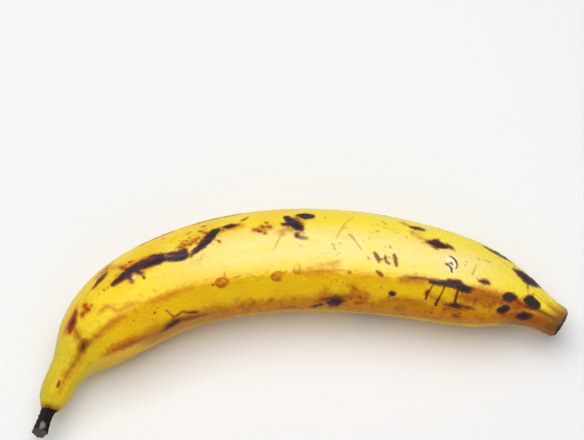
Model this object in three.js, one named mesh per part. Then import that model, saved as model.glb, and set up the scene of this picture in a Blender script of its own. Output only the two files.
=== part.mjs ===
// A ripe plantain finger, lying on its side, in millimetres.
// +Z is up and +X runs from the stem towards the blossom tip. The hollow side of the bend faces -Y.
// The origin is under the middle of the finger's box, on the surface that it lies on.
// The finger grew as one piece, so it is one closed body: the dry stem, the neck, the ridged belly
// and the blossom tip all come from one drum that is bent along the finger's spine.
import * as THREE from "three";
import { mergeVertices } from "three/addons/utils/BufferGeometryUtils.js";

// Driving dimensions
const FINGER_LENGTH = 296; // along the curve, from the torn stem to the blossom scar
const BELLY_RADIUS = 24; // at the thickest place, before the ridges are raised
const SETTLED_DEPTH = 1.1; // how far the soft underside has settled flat on the surface

// Profiles along the finger. Each row is a distance from the torn stem in mm, then the value there.
// HEADING is the way that the spine runs, in degrees from +X towards +Y.
const HEADING = [
  [0, 74], [22, 67], [42, 55], [64, 42], [84, 31.5], [106, 20.5], [130, 11],
  [157, 3], [184, -4], [212, -10], [240, -14], [262, -16.5], [280, -27], [FINGER_LENGTH, -33],
];
// GIRTH is the radius as a share of BELLY_RADIUS.
const GIRTH = [
  [0, 0.15], [4, 0.13], [8, 0.122], [11, 0.138], [13.5, 0.195], [18, 0.272], [24, 0.305], [30, 0.322],
  [36, 0.378], [42, 0.495], [48, 0.62], [60, 0.79], [76, 0.905], [100, 0.96], [140, 1.01], [190, 1],
  [222, 0.94], [243, 0.87], [257, 0.76], [270, 0.57], [283, 0.375], [290, 0.31], [FINGER_LENGTH, 0.285],
];
// HEIGHT is how far the spine is above the underside of the belly.
const HEIGHT = [
  [0, 17], [16, 18.5], [40, 21.5], [70, 23.6], [110, 24.2], [150, 24.6], [190, 24.6], [230, 23.8],
  [262, 21.5], [285, 19], [FINGER_LENGTH, 18],
];
// TWIST turns the whole section about the spine, in degrees.
const TWIST = [
  [0, -30], [30, -26], [70, -12], [120, -2], [160, 0], [220, -3], [260, -8], [FINGER_LENGTH, -14],
];
// CREST is how boldly the ridges stand out, with 1 on the belly.
const CREST = [
  [0, 0.8], [14, 1.2], [40, 1.7], [70, 1.2], [110, 1], [200, 1], [250, 1.25], [280, 2.1],
  [FINGER_LENGTH, 2.6],
];

// The ridges that run the length of the finger. at is degrees round from the top towards the hollow
// side of the bend, height a share of the radius, and reach how far each flank runs, in degrees.
const RIDGES = [
  { at: 37, height: 0.12, reach: 18 },
  { at: 77, height: 0.06, reach: 13 },
  { at: 148, height: 0.1, reach: 19 },
  { at: 214, height: 0.09, reach: 20 },
  { at: 286, height: 0.06, reach: 24 },
  { at: 352, height: 0.015, reach: 12 },
];
const CREST_ROUNDING = 3; // degrees over which a ridge's crest is rounded

// The dry stem is wrinkled along its length, and its torn end is flared and uneven.
const STEM_FOOT = [8, 13]; // the stem's wrinkles give way to the neck's ridges between these distances
const STEM_WRINKLES = 7; // wrinkles in one turn round the stem
const WRINKLE_HEIGHT = 0.09; // a share of the radius
const WRINKLE_SPIRAL = 6; // degrees that the wrinkles turn in each millimetre
const TEAR_HEIGHT = 2.8; // how far the torn fibres in the middle of the stem stand out
const TEAR_EDGE = 0.9; // how far the rim of the tear is uneven along the stem
const TEAR_LOBES = 3; // high places round that rim
const TEAR_TURN = 57; // degrees that they are turned

// The blossom scar is a low stub on the end of the tip.
const SCAR_HEIGHT = 2.2;
const SCAR_BLUNTNESS = 4; // 2 would make a round dome, and more makes a flatter end

// Mesh
const AROUND = 48;
const SPACING = [[0, 1.6], [20, 2.4], [60, 4.2], [150, 5.2], [240, 4], [275, 2.4], [FINGER_LENGTH, 1.6]];
const CAP_RINGS = [0.4, 0.7, 0.9]; // rings on each end face, as shares of its radius

// The value of a profile at a distance along the finger: a smooth curve through its rows.
function along(profile, distance) {
  const last = profile.length - 1;
  const place = THREE.MathUtils.clamp(distance, profile[0][0], profile[last][0]);
  let row = 0;
  while (row < last - 1 && place > profile[row + 1][0]) row += 1;
  const slope = (i) => {
    const before = profile[Math.max(i - 1, 0)];
    const after = profile[Math.min(i + 1, last)];
    return (after[1] - before[1]) / (after[0] - before[0]);
  };
  const [start, value] = profile[row];
  const [end, nextValue] = profile[row + 1];
  const span = end - start;
  const t = (place - start) / span;
  const blend = (3 - 2 * t) * t * t;
  const leaving = t * (1 - t) * (1 - t) * span * slope(row);
  const arriving = t * t * (1 - t) * span * slope(row + 1);
  return value + blend * (nextValue - value) + leaving - arriving;
}

// The spine, found by walking its heading in small steps from the torn stem.
const STEP = 0.5;
const walked = [new THREE.Vector2(0, 0)];
for (let gone = 0; gone < FINGER_LENGTH; gone += STEP) {
  const heading = THREE.MathUtils.degToRad(along(HEADING, gone + STEP / 2));
  const stride = new THREE.Vector2(Math.cos(heading), Math.sin(heading)).multiplyScalar(STEP);
  walked.push(walked.at(-1).clone().add(stride));
}

function spinePoint(distance) {
  const step = Math.min(distance / STEP, walked.length - 1.001);
  const from = walked[Math.floor(step)];
  const to = walked[Math.floor(step) + 1];
  const plan = from.clone().lerp(to, step - Math.floor(step));
  return new THREE.Vector3(plan.x, plan.y, along(HEIGHT, distance) - SETTLED_DEPTH);
}

// The spine's own directions at a distance: forward, towards the hollow side of the bend, and up.
function spineFrame(distance) {
  const heading = THREE.MathUtils.degToRad(along(HEADING, distance));
  const climb = along(HEIGHT, distance + STEP) - along(HEIGHT, distance - STEP);
  const forward = new THREE.Vector3(Math.cos(heading), Math.sin(heading), climb / (2 * STEP)).normalize();
  const hollow = forward.clone().cross(new THREE.Vector3(0, 0, 1)).normalize();
  const up = hollow.clone().cross(forward);
  return { forward, hollow, up };
}

// The radius of the section, with its ridges, or with wrinkles on the stem.
function sectionRadius(distance, degrees) {
  const turned = degrees - along(TWIST, distance);
  let swell = 0;
  for (const { at, height, reach } of RIDGES) {
    const away = THREE.MathUtils.euclideanModulo(turned - at + 180, 360) - 180;
    const rounded = Math.hypot(away, CREST_ROUNDING) - CREST_ROUNDING;
    swell += height * Math.exp(-rounded / reach);
  }
  const phase = STEM_WRINKLES * degrees + WRINKLE_SPIRAL * distance;
  const wrinkle = WRINKLE_HEIGHT * Math.cos(THREE.MathUtils.degToRad(phase));
  const onStem = 1 - THREE.MathUtils.smoothstep(distance, ...STEM_FOOT);
  const relief = THREE.MathUtils.lerp(swell * along(CREST, distance), wrinkle, onStem);
  return BELLY_RADIUS * along(GIRTH, distance) * (1 + relief);
}

// A point of the finger: on its side at share 1, and on an end face nearer the spine below that.
function fingerPoint(distance, degrees, share) {
  const { forward, hollow, up } = spineFrame(distance);
  const angle = THREE.MathUtils.degToRad(degrees);
  const radius = sectionRadius(distance, degrees) * share;
  const point = spinePoint(distance);
  point.addScaledVector(up, radius * Math.cos(angle));
  point.addScaledVector(hollow, radius * Math.sin(angle));
  if (distance === 0) {
    const lobe = Math.cos(THREE.MathUtils.degToRad(TEAR_LOBES * degrees + TEAR_TURN));
    point.addScaledVector(forward, TEAR_EDGE * share * lobe - TEAR_HEIGHT * (1 - share));
  }
  if (distance === FINGER_LENGTH) {
    point.addScaledVector(forward, SCAR_HEIGHT * (1 - share ** SCAR_BLUNTNESS));
  }
  point.z = Math.max(point.z, 0);
  return point;
}

// The distances of the rings on the side, closer together where the form changes quickly.
function ringDistances() {
  const rings = [0];
  while (rings.at(-1) < FINGER_LENGTH) rings.push(rings.at(-1) + along(SPACING, rings.at(-1)));
  const stretch = FINGER_LENGTH / rings.at(-1);
  return rings.map((ring, i) => (i === rings.length - 1 ? FINGER_LENGTH : ring * stretch));
}

// A drum of radius 1 with the finger's rings, then each of its points moved onto the finger.
function makePlantain() {
  const rings = ringDistances();
  const face = [0, ...CAP_RINGS];
  const profile = [
    ...face.map((share) => new THREE.Vector2(share, 0)),
    ...rings.map((distance) => new THREE.Vector2(1, distance)),
    ...face.reverse().map((share) => new THREE.Vector2(share, FINGER_LENGTH)),
  ];
  const drum = new THREE.LatheGeometry(profile, AROUND);
  drum.deleteAttribute("normal");
  drum.deleteAttribute("uv");
  const points = drum.getAttribute("position");
  for (let i = 0; i < points.count; i += 1) {
    const share = Math.hypot(points.getX(i), points.getZ(i));
    const degrees = THREE.MathUtils.radToDeg(Math.atan2(points.getX(i), points.getZ(i)));
    const placed = fingerPoint(points.getY(i), degrees, share);
    points.setXYZ(i, placed.x, placed.y, placed.z);
  }
  const skin = mergeVertices(drum, 1e-3);
  skin.computeBoundingBox();
  const middle = skin.boundingBox.getCenter(new THREE.Vector3());
  skin.translate(-middle.x, -middle.y, -skin.boundingBox.min.z);
  skin.computeVertexNormals();
  const peel = new THREE.MeshStandardMaterial({ color: 0xe9c62f, roughness: 0.45, metalness: 0 });
  const mesh = new THREE.Mesh(skin, peel);
  mesh.name = "plantain";
  return mesh;
}

const finger = new THREE.Group();
finger.add(makePlantain());

export default finger;
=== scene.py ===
"""A ripe plantain finger in its bruised peel, lying on a pale floor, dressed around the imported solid.

The finger is shaped in millimetres, along its spine and round its section, and its mesh is made in metres.
"""
import math

import bmesh
import bpy
import numpy as np
from mathutils import Matrix, Vector, noise
from mathutils.bvhtree import BVHTree


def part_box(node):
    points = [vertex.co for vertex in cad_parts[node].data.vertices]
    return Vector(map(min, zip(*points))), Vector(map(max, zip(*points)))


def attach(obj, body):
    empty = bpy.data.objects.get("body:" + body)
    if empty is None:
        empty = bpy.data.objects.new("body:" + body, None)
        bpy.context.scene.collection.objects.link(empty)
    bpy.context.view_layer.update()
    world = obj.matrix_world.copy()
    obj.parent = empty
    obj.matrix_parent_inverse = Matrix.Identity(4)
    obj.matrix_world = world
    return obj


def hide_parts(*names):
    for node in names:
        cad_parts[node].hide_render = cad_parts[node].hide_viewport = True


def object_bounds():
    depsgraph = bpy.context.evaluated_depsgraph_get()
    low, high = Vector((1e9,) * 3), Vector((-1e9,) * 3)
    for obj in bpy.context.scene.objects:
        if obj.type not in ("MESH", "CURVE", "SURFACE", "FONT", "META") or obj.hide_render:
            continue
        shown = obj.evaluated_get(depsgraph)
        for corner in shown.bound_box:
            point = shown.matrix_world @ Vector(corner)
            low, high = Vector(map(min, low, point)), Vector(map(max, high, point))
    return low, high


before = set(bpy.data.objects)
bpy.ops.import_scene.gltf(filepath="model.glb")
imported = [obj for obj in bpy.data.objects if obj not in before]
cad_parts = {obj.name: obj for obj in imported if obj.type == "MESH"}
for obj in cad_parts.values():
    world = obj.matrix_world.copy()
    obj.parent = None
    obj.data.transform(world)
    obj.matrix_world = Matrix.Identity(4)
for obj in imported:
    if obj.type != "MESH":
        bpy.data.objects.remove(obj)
cad_low, cad_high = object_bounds()

MM = 0.001

# The camera, which sees the finger where the photograph shows it
PHOTO_WIDTH = 584
PHOTO_HEIGHT = 440
MM_PER_PIXEL = 0.5
CAMERA_ELEVATION = math.radians(65)
LENS = 100.0
SENSOR = 36.0
CAMERA_DISTANCE = MM_PER_PIXEL * PHOTO_WIDTH * LENS / SENSOR
AIM = Vector((-5.7, 53.6, 24.0))
TOWARDS_CAMERA = Vector((0, -math.cos(CAMERA_ELEVATION), math.sin(CAMERA_ELEVATION)))
CAMERA_RIGHT = Vector((1, 0, 0))
CAMERA_UP = TOWARDS_CAMERA.cross(CAMERA_RIGHT)

# Driving dimensions, as in the solid
FINGER_LENGTH = 296
BELLY_RADIUS = 24
SETTLED_DEPTH = 1.1

# Profiles along the finger: a distance from the torn stem in mm, then the value there
HEADING = [
    (0, 74), (22, 67), (42, 55), (64, 42), (84, 31.5), (106, 20.5), (130, 11), (157, 3), (184, -4),
    (212, -10), (240, -14), (262, -16.5), (280, -27), (FINGER_LENGTH, -33),
]
GIRTH = [
    (0, 0.15), (4, 0.13), (8, 0.122), (11, 0.138), (13.5, 0.195), (18, 0.272), (24, 0.305), (30, 0.322),
    (36, 0.378), (42, 0.495), (48, 0.62), (60, 0.79), (76, 0.905), (100, 0.96), (140, 1.01), (190, 1),
    (222, 0.94), (243, 0.87), (257, 0.76), (270, 0.57), (283, 0.375), (290, 0.31), (FINGER_LENGTH, 0.285),
]
HEIGHT = [
    (0, 17), (16, 18.5), (40, 21.5), (70, 23.6), (110, 24.2), (150, 24.6), (190, 24.6), (230, 23.8),
    (262, 21.5), (285, 19), (FINGER_LENGTH, 18),
]
TWIST = [
    (0, -30), (30, -26), (70, -12), (120, -2), (160, 0), (220, -3), (260, -8), (FINGER_LENGTH, -14),
]
CREST = [
    (0, 0.8), (14, 1.2), (40, 1.7), (70, 1.2), (110, 1), (200, 1), (250, 1.25), (280, 2.1),
    (FINGER_LENGTH, 2.6),
]

# The ridges: degrees round from the top towards the hollow side, height as a share, reach in degrees
RIDGES = [
    (37, 0.12, 18), (77, 0.06, 13), (148, 0.1, 19), (214, 0.09, 20), (286, 0.06, 24), (352, 0.015, 12),
]
CREST_ROUNDING = 3

# The dry stem, its torn end and the blossom scar
STEM_FOOT = (8, 13)
STEM_WRINKLES = 7
WRINKLE_HEIGHT = 0.09
WRINKLE_SPIRAL = 6
TEAR_HEIGHT = 2.8
TEAR_EDGE = 0.9
TEAR_LOBES = 3
TEAR_TURN = 57
SCAR_HEIGHT = 2.2
SCAR_BLUNTNESS = 4

# The fine mesh
AROUND = 200
RING_SPACING = 0.66
CAP_SHARES = [0.0, 0.15, 0.3, 0.45, 0.6, 0.72, 0.82, 0.9, 0.96]

# How marks are laid on the peel: the clearance that counts as far off, in mm, and the longest step along a
# mark, in the units of its points
FAR_OFF = 8.0
STROKE_STEP = 2.5

# The flat map: how much of it each end face gets, in mm, and how near the middle of that face its pole is
CAP_ON_MAP = 8
POLE_SHARE = 1e-4

# The fine relief: how high it is and how large its features are, in mm, how far they are stretched along
# the finger, and where its noise is read. The fibres' height of 1 is multiplied by the heights below it.
SKIN_SWELL = (0.08, 22, 2.5, 0.0)
SKIN_GRAIN = (0.015, 5, 2.5, 9.0)
FIBRES = (1.0, 2.6, 9.0, 21.0)
STEM_FOLDS = (0.35, 2.2, 3.5, 33.0)
STEM_GRAIN = (0.16, 0.9, 1.6, 47.0)
TORN_GRAIN = (0.35, 1.3, 1.0, 61.0)

# The height of the fibres everywhere and what the neck and the tip add, in mm, and where along the finger
# the neck's fibres go out and the tip's come in
FIBRE_HEIGHT = 0.02
FIBRE_HEIGHT_ON_NECK = 0.12
FIBRE_HEIGHT_ON_TIP = 0.14
NECK_GOES = (24, 66)
TIP_COMES = (250, 285)

# The relief of the marks, in mm, and where it begins and is full, in mm inside a mark's outline
BRUISE_DEPTH = 0.26
ROUND_SCAR_HEIGHT = 0.12
SCRATCH_DEPTH = 0.12
BRUISE_EDGE = (-0.4, 1.1)
SCAR_EDGE = (-0.3, 0.3)
SCRATCH_EDGE = (-0.2, 0.3)

# The sides of the finger that the tones of the sound peel take: from and to, in degrees round it from the
# top towards the hollow side, and how soft the edges are
# The pale top is a painted highlight, a cream band along the upper belly
PAINTED_HIGHLIGHT_TOP = (-16, 27, 15)
# The golden face below the main ridge is the peel's deeper gold with painted shade in it
GOLDEN_FACE_WITH_SHADE = (36, 152, 7)
# The brown band low on the hollow side is browned peel with painted shade in it
BROWN_AND_SHADE_BAND = (67, 104, 15)
BAND_WIDENS_BY = 5
# The dusky band low on the hollow side of the shoulder is browned peel with painted shade in it
DUSKY_SHADED_BAND = (68, 110, 13)
CANARY_BACK = (-110, 33, 10)
SHADED_SIDE = (104, 222, 15)
# The low tip is browned peel with painted shade on its lower faces, darker than its lit upper face
LOW_TIP_BROWN_AND_SHADE = (46, 128, 12)

# The crests of the ridges: how wide their tone is, in degrees, and how high a ridge has it in full
CREST_WIDTH = 5
CREST_IN_FULL = 0.1

# Where along the finger the tones come in or go out, in mm from the torn stem
# The painted highlight on the top comes in and goes out here
PAINTED_HIGHLIGHT_COMES = (74, 144)
PAINTED_HIGHLIGHT_GOES = (236, 276)
BAND_COMES = (96, 126)
BAND_WIDENS = (196, 226)
DUSK_COMES = (54, 80)
DUSK_GOES = (112, 138)
CANARY_COMES = (130, 215)
CREST_COMES = (30, 60)
GREEN_GOES = (26, 66)
LOW_TIP_COMES = (258, 284)

# Colours of the sound peel, on the 0 to 255 scale
LEMON = (250, 220, 42)
BUTTER = (244, 204, 22)
CANARY = (255, 234, 62)
# A painted highlight: the cream of the shine on the upper belly
HIGHLIGHT_CREAM = (255, 230, 142)
# Golds of the face below the main ridge: the peel's own deeper colour with painted shade in it
GOLD = (246, 200, 2)
OLD_GOLD = (240, 188, 2)
# Caramel of the band low on the hollow side: browned peel with painted shade in it
CARAMEL = (198, 124, 6)
SIENNA = (160, 80, 10)
# Brown of the dusky band: browned peel with painted shade in it
DUSK = (156, 92, 28)
OCHRE = (210, 166, 26)
LIME = (204, 186, 34)
HONEY = (218, 144, 6)

# Colours of its marks
TAN = (184, 104, 12)
RUSSET = (138, 72, 18)
BROWN = (122, 64, 30)
UMBER = (96, 56, 26)
APRICOT = (214, 132, 8)
AMBER = (172, 74, 6)
OLIVE = (176, 136, 18)
DARK_OLIVE = (94, 38, 8)
RUST = (166, 58, 4)
MAROON = (92, 36, 22)
PLUM = (84, 36, 54)
MAUVE = (112, 60, 68)
BLUE_BLACK = (36, 29, 44)
GREEN_BLACK = (42, 44, 28)
SLATE = (72, 70, 94)
CHALK = (252, 244, 208)

# Colours of its two dry ends
STEM_BLACK = (12, 11, 14)
STEM_GREY = (34, 32, 36)
# A painted highlight: the grey shine on the black stem
STEM_HIGHLIGHT_GREY = (140, 140, 134)
TORN_BROWN = (84, 62, 52)
TORN_GREY = (112, 102, 94)
# Brown of the tip: the browned end, and painted shade on the tip's lower face
TIP_BROWN = (128, 84, 34)
SCAR_BLACK = (30, 28, 22)
SCAR_OLIVE = (70, 60, 38)

# The noises that break up the colours: features to the mm, detail and roughness
BROAD = (0.045, 3.0, 0.55)
PATCHY = (0.22, 4.0, 0.6)
BLOTCHED = (0.28, 4.0, 0.65)
BLOTCHY = (0.4, 5.0, 0.65)
RAGGED = (0.75, 4.0, 0.68)
FIBROUS = (0.8, 4.0, 0.65)
SPATTERED = (0.95, 2.0, 0.5)
FINE = (1.7, 3.0, 0.6)
PATCH_STRETCH = (1, 1, 0.45)
FIBRE_STRETCH = (1, 1, 0.06)

# The stains, from the bottom one up: the kind of mark, the noise that frays its edge, how far that reaches
# in mm, and the layers. A layer starts at one clearance from the mark and is full at another, in mm and
# below zero inside it, and has a strength and a colour.
STAINS = [
    ("haze", "blotchy", 6.0, [(2.9, -2.0, 0.85, HONEY)]),
    ("haze", "ragged", 7.0, [(0.9, -2.2, 0.6, TAN), (-1.2, -3.2, 0.45, RUSSET)]),
    ("tan", "blotchy", 7.0, [(3.4, -2.8, 0.85, TAN)]),
    ("tan", "ragged", 8.0, [(0.4, -3.6, 0.65, RUSSET)]),
    ("umber", "ragged", 4.0, [(2.0, -0.6, 0.6, RUSSET), (0.6, -1.8, 0.85, UMBER)]),
]

# The bruises and scars that lie over the stains, told in the same way
BLEMISHES = [
    ("chalk", "fine", 0.8, [(0.6, -0.6, 0.85, CHALK)]),
    ("honey", "fine", 2.2, [(0.9, -0.8, 0.75, APRICOT)]),
    ("amber", "ragged", 1.3, [(0.6, -0.4, 0.85, AMBER)]),
    ("olive", "fine", 0.5, [(0.4, -0.25, 0.62, OLIVE)]),
    ("rust", "ragged", 2.6, [(1.3, 0.0, 0.6, TAN), (0.5, -0.5, 0.9, RUST)]),
    ("rust", "fine", 1.6, [(-0.5, -1.6, 0.6, MAROON)]),
    ("brown", "ragged", 1.4, [(0.9, -0.1, 0.5, TAN), (0.35, -0.4, 0.9, BROWN)]),
    ("faded", "ragged", 2.2, [(0.9, -0.8, 0.8, MAUVE)]),
    ("plum", "ragged", 2.4, [(1.3, 0.1, 0.6, RUSSET), (0.5, -0.5, 0.95, PLUM)]),
    ("bruise", "ragged", 2.4, [
        (1.2, 0.1, 0.7, MAROON), (0.6, -0.3, 0.9, PLUM), (0.0, -0.9, 1.0, BLUE_BLACK),
    ]),
    ("dot", "fine", 0.5, [(0.45, -0.15, 0.95, DARK_OLIVE)]),
]

# The flecks: cells to the mm, the largest fleck's radius in mm, and the share of the cells that hold one.
# The smallest radius and the soft edge are shares of the largest radius.
FRECKLES = (0.7, 0.6, 0.24)
OLIVE_FLECKS = (0.16, 0.55, 0.16)
BROWN_FLECKS = (0.3, 0.4, 0.09)
LEAST_FLECK = 0.35
FLECK_EDGE = 0.3

# The two dry ends: where each begins and is full, in mm along the finger
STEM_STAIN = (15.5, 11.8)
STEM_BLACKENS = (12.3, 11.2)
STEM_TORN = (1.6, 0.4)
TIP_STAIN = (286, 297)
SCAR_BLACKENS = (FINGER_LENGTH - 1.0, FINGER_LENGTH)

# Where along the finger the cores of the bruises turn greener, in mm
BRUISES_GREEN = (150, 210)

# How the peel shines: its roughness from the smoothest grain to the dullest, what the dry ends and the
# bruises add to that, the specular level on the yellow and on the golden and brown lower faces, which hold
# painted shade, and the tint of the shine
WAX_ROUGHNESS = (0.38, 0.46)
DULL_ADDS = 0.25
SHINE = (0.3, 0.08)
SHINE_TINT = (1, 0.93, 0.7, 1)

# The finest grain, which is only bumped: its strength as a share and its depth in metres
GRAIN_STRENGTH = 0.2
GRAIN_DEPTH = 0.0003

# The studio, in metres and watts: a light has its place, its size and its power
FLOOR_HALF = 2.0
FLOOR_GAP = 0.0002
FLOOR_GREY = 0.9
FLOOR_ROUGHNESS = 0.7
OVERHEAD = ((-0.08, 0.16, 0.9), 0.9, 7.5)
FILL = ((0.3, -1.0, 0.6), 0.9, 1.9)
LIT_POINT = (0, 0.03, 0.02)
ROOM_LIGHT = 0.3

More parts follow.
